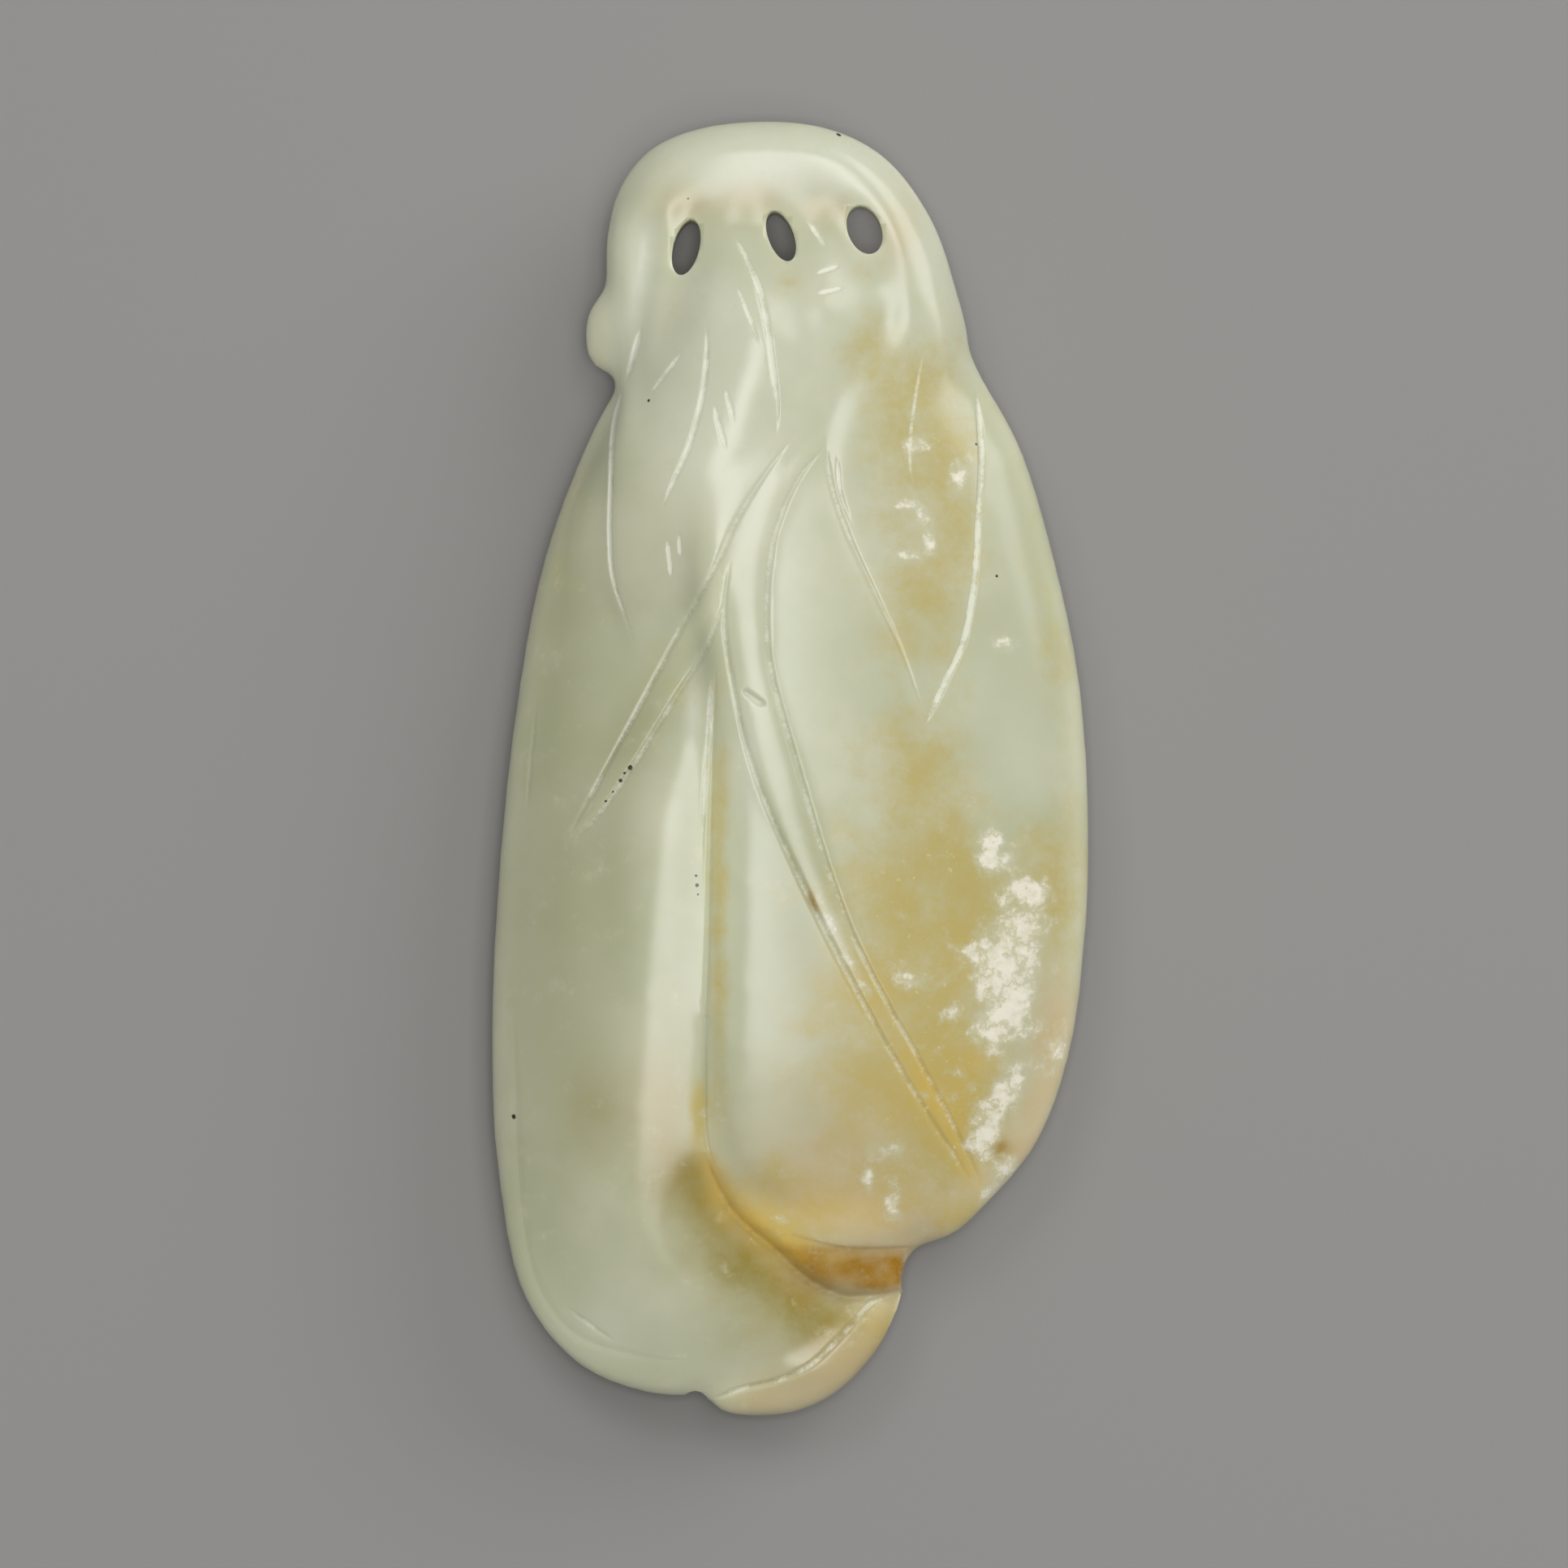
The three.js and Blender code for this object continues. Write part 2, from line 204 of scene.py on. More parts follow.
# The flat on the stem loop's left side: outline, the place across and the height of a point of its plane,
# how it leans to the right, and the distances into the outline over which it sets in
LIMB_FLAT = dict(
    outline=[
        (-8.1, 29.9), (-8.9, 26.6), (-9.2, 24.6), (-8.8, 22.2), (-8.35, 22.2), (-7.6, 25.3), (-7.2, 27.3),
        (-7.3, 29.7),
    ],
    at=(-8.2, 7.95), lean=0.06, edge=(-0.25, 0.1),
)

# Rounds of polish: over all the skin before and after the carving, and more of them on the stem loop's
# face, on the shoulder beside the left leaf, near the soft edge between the right fruit and its foot, and
# round the holes
FIRST_POLISH = 6
LAST_POLISH = 3
LOOP_POLISH = dict(rounds=24, above=17.0)
SHOULDER_POLISH = dict(rounds=40, left_of=-9.6, between=(3.0, 21.0))
FOOT_POLISH = dict(rounds=24, reach=2.2)
HOLE_POLISH = dict(rounds=5, between=(20.0, 30.0))
FOOT_EDGE = [(-4.0, -22.8), (-1.0, -25.0), (2.9, -25.8), (6.0, -25.8)]

TIP_SHAPE = 0.6  # how bluntly the ends of a cut run out, where less is blunter
TIP_WIDTH = 0.35  # share of a cut's width that is left at its tips
FROSTED_WALL = 0.6  # share of a cut's wall over which the frost sets in
LINE_SLOPE = 1.3  # the slope and the fade of a line that gives none of its own
LINE_FADE = (0.3, 0.3)
REFINED = (0.66, 0.4)  # how near a line the squares of the skin are halved, and halved again

# Broad cuts, made before the last polish: depth, width to the left and right of travel, shape of the slope,
# where 1 is straight and more is hollow, the shares of the length over which the ends run out, and plan
BROAD_CUTS = [
    dict(depth=0.16, left=0.45, right=0.25, slope=1.3, fade=(0.25, 0.12), plan=[
        (-4.0, 5.4), (-4.2, -0.1), (-4.4, -8.8), (-4.6, -15.4), (-4.5, -19.8), (-4.3, -22.0),
    ]),
    dict(depth=1.0, left=0.25, right=4.6, slope=1.4, fade=(0.3, 0.0), plan=[
        (-4.6, -20.5), (-3.0, -23.8), (-1.0, -25.6), (1.1, -27.5), (2.9, -28.3), (6.2, -28.2),
    ]),
    dict(depth=0.22, left=2.0, right=2.0, slope=1.5, fade=(0.3, 0.5), plan=[
        (6.0, 26.0), (5.0, 23.9), (3.8, 22.3), (2.2, 19.4), (1.9, 17.4), (2.2, 15.3),
    ]),
]

# Lines cut with a narrow wheel. They are given like the broad cuts, with one width for both sides and how
# frosted the floor is. The one under the right fruit is a step, so it has two widths.
LINES = [
    dict(depth=0.15, width=0.17, fade=(0.1, 0.45), frost=0.9, plan=[
        (-9.0, 20.6), (-9.5, 18.6), (-9.65, 15.3), (-9.7, 12.6), (-9.55, 10.4), (-8.8, 8.0), (-8.3, 6.5),
    ]),
    dict(depth=0.12, width=0.22, fade=(0.3, 0.12), frost=0.37, plan=[
        (0.5, 18.3), (-1.7, 15.3), (-3.0, 13.1), (-3.9, 11.1), (-5.6, 8.0), (-7.4, 4.7), (-10.0, -0.1),
        (-11.9, -3.6),
    ]),
    dict(depth=0.12, width=0.22, fade=(0.15, 0.12), frost=0.37, plan=[
        (-3.3, 9.5), (-4.5, 6.5), (-6.3, 3.6), (-8.5, 0.1), (-10.2, -2.3), (-11.7, -4.0),
    ]),
    dict(depth=0.13, width=0.22, fade=(0.08, 0.08), frost=0.37, plan=[
        (1.9, 17.4), (0.5, 15.7), (-0.4, 13.9), (-1.0, 11.8), (-1.2, 6.5), (0.3, 0.4), (3.3, -8.8),
        (7.5, -16.7), (9.9, -21.5), (10.5, -23.1),
    ]),
    dict(depth=0.13, width=0.22, fade=(0.12, 0.08), frost=0.37, plan=[
        (-3.2, 11.3), (-3.5, 8.7), (-3.4, 6.5), (-2.1, 0.4), (1.1, -7.1), (5.5, -15.4), (8.2, -19.8),
        (9.9, -22.4),
    ]),
    dict(depth=0.07, width=0.18, fade=(0.1, 0.8), frost=0.4, plan=[
        (1.9, 17.4), (2.2, 15.3), (3.1, 12.6), (4.7, 9.1), (6.0, 6.3), (7.3, 2.6),
    ]),
    dict(depth=0.17, width=0.22, fade=(0.15, 0.1), frost=1.0, plan=[
        (10.0, 20.6), (10.3, 17.0), (10.1, 13.5), (9.9, 10.4), (9.3, 6.9), (8.4, 4.9), (7.2, 2.4),
    ]),
    dict(depth=0.17, width=0.22, fade=(0.2, 0.3), frost=1.0, plan=[
        (-3.0, 28.8), (-2.4, 27.5), (-1.7, 25.8), (-1.3, 24.0), (-1.0, 21.8), (-0.7, 19.2), (-0.8, 17.9),
    ]),
    dict(depth=0.13, width=0.18, frost=1.0, plan=[
        (-4.5, 24.2), (-4.5, 21.8), (-4.8, 19.6), (-5.4, 17.4), (-6.3, 15.3), (-7.0, 13.7),
    ]),
    dict(depth=0.18, width=0.22, fade=(0.1, 0.1), frost=0.48, plan=[
        (-4.2, -34.0), (-2.6, -33.4), (-0.6, -32.9), (1.1, -32.1), (2.9, -30.4), (4.4, -28.8), (5.4, -28.4),
    ]),
    dict(depth=0.14, width=0.24, fade=(0.4, 0.3), frost=0.9, plan=[
        (-8.0, 23.9), (-8.4, 22.4), (-8.8, 20.9),
    ]),
    dict(depth=0.15, width=0.22, fade=(0.1, 0.2), plan=[
        (-4.0, 5.4), (-4.2, -0.1), (-4.4, -8.8), (-4.6, -15.4), (-4.5, -19.8), (-4.1, -21.5),
    ]),
    dict(depth=0.14, width=0.20, fade=(0.2, 0.0), frost=0.16, plan=[
        (-4.7, -20.4), (-4.1, -21.9), (-3.0, -23.8), (-1.0, -25.6), (1.1, -27.5), (2.9, -28.3),
        (6.2, -28.2),
    ]),
    dict(depth=0.10, left=0.12, right=1.0, slope=1.0, fade=(0.5, 0.0), plan=[
        (-0.4, -24.9), (2.9, -25.75), (6.4, -25.8),
    ]),
    dict(depth=0.04, width=0.16, frost=0.9, plan=[(-5.8, 22.4), (-7.5, 20.2)]),
    dict(depth=0.05, width=0.16, frost=0.9, plan=[(-4.1, 19.6), (-3.8, 18.3), (-3.4, 17.0)]),
    dict(depth=0.03, width=0.14, frost=0.7, plan=[(-3.5, 20.5), (-3.0, 18.5)]),
    dict(depth=0.04, width=0.15, frost=0.9, plan=[(-6.6, 12.4), (-6.4, 10.2)]),
    dict(depth=0.03, width=0.14, frost=0.7, plan=[(-6.0, 12.8), (-5.9, 11.3)]),
    dict(depth=0.03, width=0.14, frost=0.5, plan=[(7.3, 23.1), (6.8, 20.5), (6.4, 17.0), (6.6, 14.8)]),
    dict(depth=0.06, width=0.16, fade=(0.3, 0.4), frost=0.7, plan=[(2.5, 17.0), (2.7, 14.8), (3.3, 13.1)]),
    dict(depth=0.04, width=0.15, frost=0.8, plan=[(1.3, 26.6), (2.7, 27.1)]),
    dict(depth=0.04, width=0.15, frost=0.9, plan=[(1.3, 25.5), (2.9, 25.9)]),
    dict(depth=0.04, width=0.15, frost=0.9, plan=[(0.9, 29.5), (2.0, 28.0)]),
    dict(depth=0.12, width=0.26, fade=(0.2, 0.2), frost=0.2, plan=[(-2.6, 4.3), (-1.9, 3.8), (-1.3, 3.4)]),
    dict(depth=0.07, width=0.18, frost=0.45, plan=[(-12.0, -29.0), (-10.2, -30.3), (-9.4, -30.8)]),
    dict(depth=0.05, width=0.15, fade=(0.3, 0.4), frost=0.8, plan=[
        (-2.9, 26.0), (-2.2, 24.2), (-1.6, 22.6),
    ]),
    dict(depth=0.05, width=0.40, frost=0.1, plan=[
        (-14.9, -12.8), (-14.4, -24.2), (-13.5, -28.0), (-11.6, -30.4), (-8.0, -31.6), (-4.9, -31.9),
    ]),
    dict(depth=0.04, width=0.18, fade=(0.2, 0.5), frost=0.8, plan=[
        (-4.2, 5.4), (-4.4, 2.2), (-4.6, -1.4), (-4.75, -5.0),
    ]),
    dict(depth=0.05, width=0.18, frost=0.2, plan=[(-13.7, 3.4), (-14.2, -2.3)]),
]

# Stains and clouds in the stone, seen from the front: centre, half width, half length and strength, and the
# lean from the long axis in degrees where there is one. Some spots are painted light: the moss and olive
# spots also paint shade, the milk spots paint highlight and the gold spots paint a glow.
STAINS = {
    "yellow": [
        (7.4, 20.5, 2.6, 3.6, 0.5), (8.4, 16.0, 2.2, 4.6, 0.5), (6.4, 16.0, 2.4, 5.0, 0.3),
        (7.7, 11.3, 3.8, 3.4, 0.45), (5.1, 21.8, 2.0, 1.8, 0.35), (6.8, 7.4, 3.4, 3.4, 0.45),
        (7.3, -0.5, 2.6, 2.8, 0.6), (6.0, 2.1, 3.0, 2.4, 0.4), (6.8, -4.5, 4.6, 2.8, 0.5),
        (9.0, -7.5, 6.4, 3.9, 0.75), (14.6, -5.8, 2.2, 5.0, 0.5), (7.7, -13.2, 5.2, 5.6, 0.7),
        (6.4, -17.6, 4.6, 3.6, 0.6), (9.4, -18.9, 2.8, 3.0, 0.9), (4.0, -10.2, 2.6, 4.4, 0.4),
        (1.1, -23.3, 5.2, 2.4, 0.4), (6.8, -22.0, 4.0, 2.8, 0.5), (-3.8, -8.8, 0.7, 13.1, 0.6),
        (-4.9, -18.4, 0.6, 2.4, 0.8), (4.9, -30.2, 1.4, 2.0, 0.35, -35), (-1.4, -21.9, 2.2, 1.7, 0.4, -30),
        (4.8, 18.0, 1.8, 5.0, 0.3), (9.0, -24.2, 1.6, 1.2, 0.6, 30), (-6.3, 5.2, 2.2, 2.8, 0.25),
        (4.0, 23.4, 1.3, 2.6, 0.4, -30), (0.1, 26.0, 1.2, 1.4, 0.35, 19), (-12.2, 12.5, 1.8, 5.0, 0.25),
        (4.2, 26.8, 1.4, 1.0, 0.25), (-6.4, 25.0, 1.2, 2.4, 0.25), (14.0, 7.0, 1.6, 8.0, 0.3, 10),
        (1.6, -14.0, 3.0, 5.0, 0.3), (-0.8, -25.0, 0.9, 3.0, 0.8, 55), (3.0, -1.0, 3.0, 4.0, 0.2),
    ],
    # Milky clouds, and painted highlight on the stem loop, its flat left side and the fruits' crests
    "milk_and_highlight": [
        (0.0, 32.7, 9.0, 2.5, 0.85), (0.0, 22.5, 9.0, 6.0, 0.26), (-4.0, 25.2, 1.8, 2.2, 0.4),
        (4.0, 25.0, 1.1, 1.8, 0.3), (-2.3, 0.8, 0.7, 3.0, 0.4), (-5.2, 3.2, 0.5, 1.9, 0.8),
        (-8.25, 25.9, 0.5, 3.2, 0.7, -13.5), (7.2, 28.0, 2.6, 4.4, 0.6, 25), (-8.2, 27.0, 1.8, 4.0, 0.5),
        (-0.8, 24.0, 5.0, 5.0, 0.22), (-0.6, 11.0, 2.6, 9.0, 0.3), (-5.0, 18.0, 3.4, 5.0, 0.45),
        (-2.0, -5.0, 1.6, 11.0, 0.3), (4.3, -30.7, 0.6, 1.0, 0.6, -35), (2.4, -8.6, 0.5, 2.4, 0.7, 28),
        (9.4, 4.4, 3.0, 3.0, 0.3), (12.4, 1.0, 2.0, 3.0, 0.3), (-9.0, -30.0, 6.0, 3.0, 0.3),
    ],
    # Greener clouds, and painted shade down the left flank, which leans away from the lamps
    "moss_and_shade": [
        (-12.6, -3.0, 3.0, 20.0, 0.42), (-9.4, -4.0, 1.5, 9.0, 0.34), (-12.5, 10.9, 2.0, 8.8, 0.25),
        (-13.6, -14.0, 2.4, 9.0, 0.2), (-8.0, 2.0, 1.5, 3.4, 0.45, -20), (0.9, -10.0, 1.9, 8.0, 0.3, 8),
        (-6.6, -16.0, 1.4, 7.0, 0.18), (-11.0, -15.0, 2.2, 5.0, 0.22), (3.4, -31.6, 2.8, 2.2, 0.35, -40),
    ],
    # Browner clouds and patina in the stem loop's hollows, and painted shade in the hollow beside the foot
    # and over parts of the facet and tail leaf
    "olive_and_shade": [
        (-10.4, -18.4, 2.2, 3.2, 0.36), (-7.0, -22.6, 1.5, 2.4, 0.32), (-6.0, -26.4, 1.8, 1.6, 0.25),
        (-0.4, -29.9, 3.4, 1.5, 0.36, 22), (4.9, -30.4, 1.5, 2.2, 0.75, -35),
        (1.9, -30.1, 2.0, 0.9, 0.6, 30), (-2.6, 30.3, 1.5, 0.9, 0.3), (1.9, 30.3, 1.0, 0.9, 0.25),
        (-6.0, 30.4, 1.1, 0.9, 0.25), (-5.3, -21.6, 1.5, 1.7, 0.8), (-4.7, -23.2, 1.8, 1.7, 0.85),
        (-3.5, -24.9, 1.9, 1.9, 0.85), (-2.3, -26.3, 1.9, 1.9, 0.75), (-1.0, -27.6, 1.9, 1.9, 0.75),
        (0.6, -28.8, 2.0, 1.7, 0.7), (2.4, -29.5, 1.9, 1.3, 0.6), (-2.8, -27.4, 3.4, 2.4, 0.3, 45),
        (0.5, -32.6, 4.6, 1.6, 0.36, 25), (0.8, -31.0, 2.6, 1.2, 0.25, 30), (-6.7, -20.5, 1.2, 2.0, 0.2),
        (-2.1, 30.0, 1.2, 1.0, 0.15, 19), (2.3, 30.0, 1.0, 1.4, 0.18, 19),
    ],
    "warm": [
        (-5.4, 30.4, 2.0, 1.2, 0.35), (-1.9, 30.9, 1.8, 1.0, 0.3), (1.6, 30.1, 1.8, 0.9, 0.3),
        (5.9, 28.8, 1.2, 2.0, 0.4), (14.2, -14.5, 1.8, 3.6, 0.8), (1.1, -22.9, 4.8, 2.4, 0.75),
        (2.9, -32.3, 3.8, 2.0, 0.65, 40), (4.6, -30.3, 1.4, 2.0, 0.2, -35),
        (12.6, -20.4, 1.2, 1.8, 0.5, -35), (-0.6, -33.9, 2.8, 1.1, 0.6, 15), (-6.9, -18.5, 1.6, 4.0, 0.45),
        (4.6, -20.5, 7.0, 5.0, 0.55), (7.0, -24.4, 4.0, 1.6, 0.6), (11.6, -21.0, 1.6, 2.4, 0.5, -35),
        (13.2, -18.0, 1.2, 2.4, 0.5, -25),
    ],
    "amber": [
        (1.4, -26.8, 0.9, 1.6, 0.7, 62), (4.6, -27.1, 3.0, 1.2, 1.6), (3.0, -25.9, 4.0, 0.3, 0.4),
        (11.3, -20.4, 0.6, 0.5, 0.75), (1.2, -7.0, 0.28, 0.75, 0.6, 25), (0.4, -28.0, 0.8, 1.6, 0.35, 50),
    ],
    # Golden skin, and a painted glow on the shaded band along the foot
    "gold_and_glow": [
        (-3.9, -22.2, 0.6, 2.0, 0.7, 25), (-2.0, -24.6, 0.8, 2.2, 0.85, 48),
        (0.4, -26.2, 1.0, 2.0, 0.85, 60), (2.6, -26.5, 1.4, 0.9, 0.5), (8.6, -15.4, 2.4, 2.6, 0.12),
        (10.4, -15.6, 1.2, 0.9, 0.3), (5.4, -12.0, 2.2, 2.6, 0.15), (5.0, -18.0, 3.2, 2.6, 0.12),
        (9.2, -18.2, 1.6, 2.0, 0.2), (4.0, -23.8, 5.0, 1.5, 0.2), (9.0, -10.6, 1.4, 2.4, 0.15),
        (7.6, -17.6, 0.7, 5.0, 0.35, 31), (9.6, -21.6, 0.8, 2.0, 0.3, 31),
    ],
    "white": [
        (10.9, -3.9, 0.84, 1.08, 1.12), (10.5, -4.9, 0.84, 0.6, 1.01), (11.6, -4.9, 0.72, 0.6, 1.01),
        (12.4, -6.4, 1.44, 0.96, 1.01), (12.9, -8, 0.84, 1.8, 1.01, -10),
        (12.2, -8.9, 1.56, 1.92, 1.12, -20), (11.2, -10.4, 1.8, 2.04, 1.12, -25),
        (11.6, -12.2, 1.56, 1.92, 1.12), (10.7, -13.8, 1.2, 1.2, 0.95), (12.2, -13.3, 0.9, 1.3, 1.01),
        (8.7, -13.1, 0.8, 0.9, 0.6), (11.9, -16.9, 0.8, 1.35, 1.12, -20),
        (11.2, -18.1, 0.96, 2.28, 1.12, -25), (10.5, -19.9, 0.72, 1.08, 1.06, -20),
        (14.3, -15, 1.08, 1.92, 0.62, -15), (11.7, -21.6, 1.2, 1.08, 0.7, -35),
        (10.8, -22.6, 0.6, 0.96, 0.7, -35), (7.5, -24, 0.6, 0.84, 0.72, -30), (11.0, -14.9, 0.5, 0.7, 0.85),
        (11.6, 6.7, 0.9, 0.6, 1.2), (6, 14.2, 0.96, 0.42, 1.06), (7.2, 13.5, 0.54, 0.96, 1.06, 30),
        (7.5, 12.3, 0.48, 0.96, 1.06), (6.4, 11.5, 1.08, 0.42, 1.06), (9.1, 15.6, 0.72, 1.08, 0.84),
        (4.2, -22.2, 0.6, 1.44, 0.62), (5.5, -23.3, 0.6, 1.44, 0.66), (5.5, -20.4, 1.44, 0.96, 0.6),
        (6.8, -11.2, 1.68, 0.84, 0.73), (2.1, -8.2, 0.42, 1.5, 0.82, 25), (3.1, -10.2, 0.42, 1.5, 0.82, 28),
        (6.6, 17.4, 1.08, 0.72, 0.62),
    ],
}
SPOT_FALLOFF = 1.2  # how fast a spot fades out from its centre
# These lie in the skin, and set in over these heights from the girdle, so they stay on the front
SKIN_RANGE = (-2.0, 1.0)
SKIN_STAINS = ("amber", "gold_and_glow", "white")

# Painted glow: the stone is made brighter at its edge, where light would show through it, and no more from
# these distances above and below the girdle
THIN = (0.3, 3.0)
# Painted glow in these places too, as soft spots like the stains, which lighten shade
GLOWS = [
    (-3.85, -4.0, 0.9, 11.0, 0.95), (-4.9, 8.0, 0.8, 1.6, 0.6, -30), (-11.3, 13.5, 1.2, 3.6, 0.5),
    (-8.7, 20.0, 0.9, 2.4, 0.6), (-9.4, 28.5, 0.9, 4.2, 0.6), (-12.8, -30.2, 1.0, 2.2, 0.6, 40),
    (2.4, -24.2, 5.5, 1.3, 0.6, -6),
]
# The painted glow is kept off this spot
THICK_TAIL = (1.4, -31.6, 6.0, 3.2, 1.0, 28)  # a spot that is too thick for it

# Dark specks of iron in the skin: place and radius
SPECKS = [
    (2.6, 34.2, 0.16), (-7.6, 19.8, 0.10), (-5.5, 30.7, 0.08), (10.0, 17.5, 0.09), (11.1, 10.4, 0.10),
    (-8.6, 0.1, 0.14), (-8.9, -0.2, 0.10), (-9.1, -0.6, 0.13), (-9.5, -1.2, 0.09), (-9.9, -1.7, 0.09),
    (-14.9, -18.7, 0.14), (-5.0, -6.2, 0.12), (-5.05, -5.7, 0.07), (-4.95, -6.7, 0.06),
]

# Textures in the stone: scale to the metre, detail and roughness
TEXTURES = dict(
    clouds=(110.0, 4.0, 0.55), drifts=(380.0, 5.0, 0.6), grain=(1700.0, 6.0, 0.7),
    tufts=(900.0, 6.0, 0.65), veins=(560.0, 6.0, 0.62), flecks=(2100.0, 2.0, 0.55),
    scratches=(5200.0, 2.0, 0.55), breaks=(650.0, 3.0, 0.55),
)
TEXTURE_RANGE = (0.3, 0.7)  # what a texture's values mostly lie between
# What each part of the colour reads: its range of values, and the shares that they are turned into
RANGES = dict(
    clouds=(0.35, 0.65), yellow=(0.08, 0.92, 0.0, 0.92), haze=(0.1, 0.7, 0.0, 0.5), white=(0.45, 1.0),
    veins=(0.0, 0.07, 0.3, 1.0), grain=(0.35, 0.6, 0.7, 1.0), flecks=(0.66, 0.72), in_yellow=(0.45, 0.9),
    scratches=(0.35, 0.65, 0.85, 1.15), breaks=(0.38, 0.58, 0.5, 1.1), frost=(0.1, 0.8, 0.0, 0.85),
    specks=(1.0, 0.6),
)
# How far textures push the edges of the stains in and out
CLOUD_SWING = 0.25
YELLOW_SWING = dict(drifts=0.21, grain=0.10)
WHITE_SWING = dict(drifts=0.26, tufts=0.42, grain=0.16)
SPECK_SWING = dict(grain=0.4)
# Painted glow: how far the base colour is brightened
GLOW_GAIN = 1.45  # how much brighter the stone is where light shows through
FLECK_SHARE = 0.6
GLOSS = (0.22, 0.55)  # roughness of polished and of frosted stone
MOTTLE_DULLNESS = 0.4  # how far the white mottling goes from the one to the other
STONE = {
    "IOR": 1.61, "Subsurface Weight": 0.5, "Subsurface Radius": (1.0, 0.9, 0.55),
    "Subsurface Scale": 1.6 * MM,
}
MIX_GROUND, MIX_COLOUR, MIX_RESULT = 6, 7, 2  # the colour sockets of a Mix node

# The studio, in metres and watts. Each lamp aims at the origin.
SOFTBOXES = [
    dict(name="key", place=(0.07, 0.04, 0.56), width=0.12, height=0.44, power=0.78),
    dict(name="side", place=(0.50, 0.40, 0.36), width=0.55, height=0.40, power=1.8),
    dict(name="fill", place=(0.0, 0.0, 0.62), width=0.10, height=0.10, power=1.05, shines=False),
    dict(name="top", place=(-0.13, 0.26, 0.50), width=0.20, height=0.20, power=0.42, shines=False),
]
ROOM_LIGHT = 0.18
FLOOR_HALF = 2.0
FLOOR_ROUGHNESS = 0.95
SENSOR = 36.0  # in millimetres
PICTURE_MIDDLE = (-0.34 * MM, -0.78 * MM)  # the place under the middle of the picture


def smooth_curve(points, closed=False, steps=14):
    """A centripetal Catmull-Rom curve through plan points, as an array of points."""
    knots = np.array(points, float)
    if closed:
        ring = np.vstack([knots[-1:], knots, knots[:2]])
    else:
        ring = np.vstack([2 * knots[0] - knots[1], knots, 2 * knots[-1] - knots[-2]])
    before, start, stop, after = ring[:-3], ring[1:-2], ring[2:-1], ring[3:]
    pairs = ((before, start), (start, stop), (stop, after))
    gap = [np.sqrt(np.linalg.norm(b - a, axis=1))[:, None] for a, b in pairs]
    rate = (stop - start) / gap[1]
    leave = ((start - before) / gap[0] - (stop - before) / (gap[0] + gap[1]) + rate) * gap[1]
    reach = (rate - (after - start) / (gap[1] + gap[2]) + (after - stop) / gap[2]) * gap[1]
    t = np.linspace(0, 1, steps, endpoint=False)[None, :, None]
    hermite = (
        (2 * t**3 - 3 * t**2 + 1) * start[:, None] + (t**3 - 2 * t**2 + t) * leave[:, None]
        + (3 * t**2 - 2 * t**3) * stop[:, None] + (t**3 - t**2) * reach[:, None]
    )
    end = knots[:1] if closed else knots[-1:]
    return np.vstack([hermite.reshape(-1, 2), end])


def smoothstep(low, high, value):
    """0 below low, 1 above high, and a smooth step between them."""
    share = np.clip((value - low) / (high - low), 0, 1)
    return share * share * (3 - 2 * share)


def spans(ring, levels):
    """The two ends, in x, of a closed outline's stretch at each level of y, or at the end nearest to it."""
    levels = np.clip(levels, ring[:, 1].min(), ring[:, 1].max())
    a, b = ring[:-1], ring[1:]
    rise = b[:, 1] - a[:, 1]
    slanted = rise != 0
    a, b, rise = a[slanted], b[slanted], rise[slanted]
    ends = []
    for level in levels:
        share = (level - a[:, 1]) / rise
        crossed = (share >= -TINY) & (share <= 1 + TINY)
        crossing = (a[:, 0] + share * (b[:, 0] - a[:, 0]))[crossed]
        ends.append((crossing.min(), crossing.max()))
    return np.array(ends).T


def rounded_form(form, around=120, along=140):
    """A sphere whose parallels become the cross-sections of a form over its outline."""
    ring = smooth_curve(form["outline"], closed=True, steps=OUTLINE_STEPS)
    bottom, top = ring[:, 1].min(), ring[:, 1].max()
    bm = bmesh.new()
    bmesh.ops.create_uvsphere(bm, u_segments=around, v_segments=along, radius=1.0)
    mesh = bpy.data.meshes.new("form")
    bm.to_mesh(mesh)
    bm.free()
    place = coords(mesh)
    share = np.clip(place[:, 2], -1, 1)
    girth = np.sqrt(1 - share**2)
    turn = np.arctan2(-place[:, 1], place[:, 0])
    y = bottom + (top - bottom) * (share + 1) / 2
    levels, which = np.unique(np.round(y, 6), return_inverse=True)
    is_front = np.sin(turn) > 0
    left, right = spans(ring, levels)[:, which]
    if "covered" in form:
        front_outline = form["outline"][: -len(form["covered"])] + form["covered"]
        front_ring = smooth_curve(front_outline, closed=True, steps=OUTLINE_STEPS)
        front_left, front_right = spans(front_ring, levels)[:, which]
        left = np.where(is_front, front_left, left)
        right = np.where(is_front, front_right, right)
    width = right - left
    margin = RIDGE_MARGIN * width
    plan = np.array(sorted((level, side) for side, level in form["crest"]))
    ridge = np.clip(np.interp(y, plan[:, 0], plan[:, 1]), left + margin, right - margin)
    ridge = np.where(is_front, ridge, left + width / 2)
    across = np.abs(np.cos(turn))
    x = ridge + across * np.where(np.cos(turn) < 0, left - ridge, right - ridge)
    front = (1 - across ** form["roof"]) ** (1 / form["edge"])
    height = np.where(is_front, form["front"] * front, -form["back"] * np.abs(np.sin(turn)))
    z = GIRDLE + height * girth ** (2 / np.where(share < 0, *form["ends"]))
    set_coords(mesh, np.column_stack([x, y, z]))
    return mesh


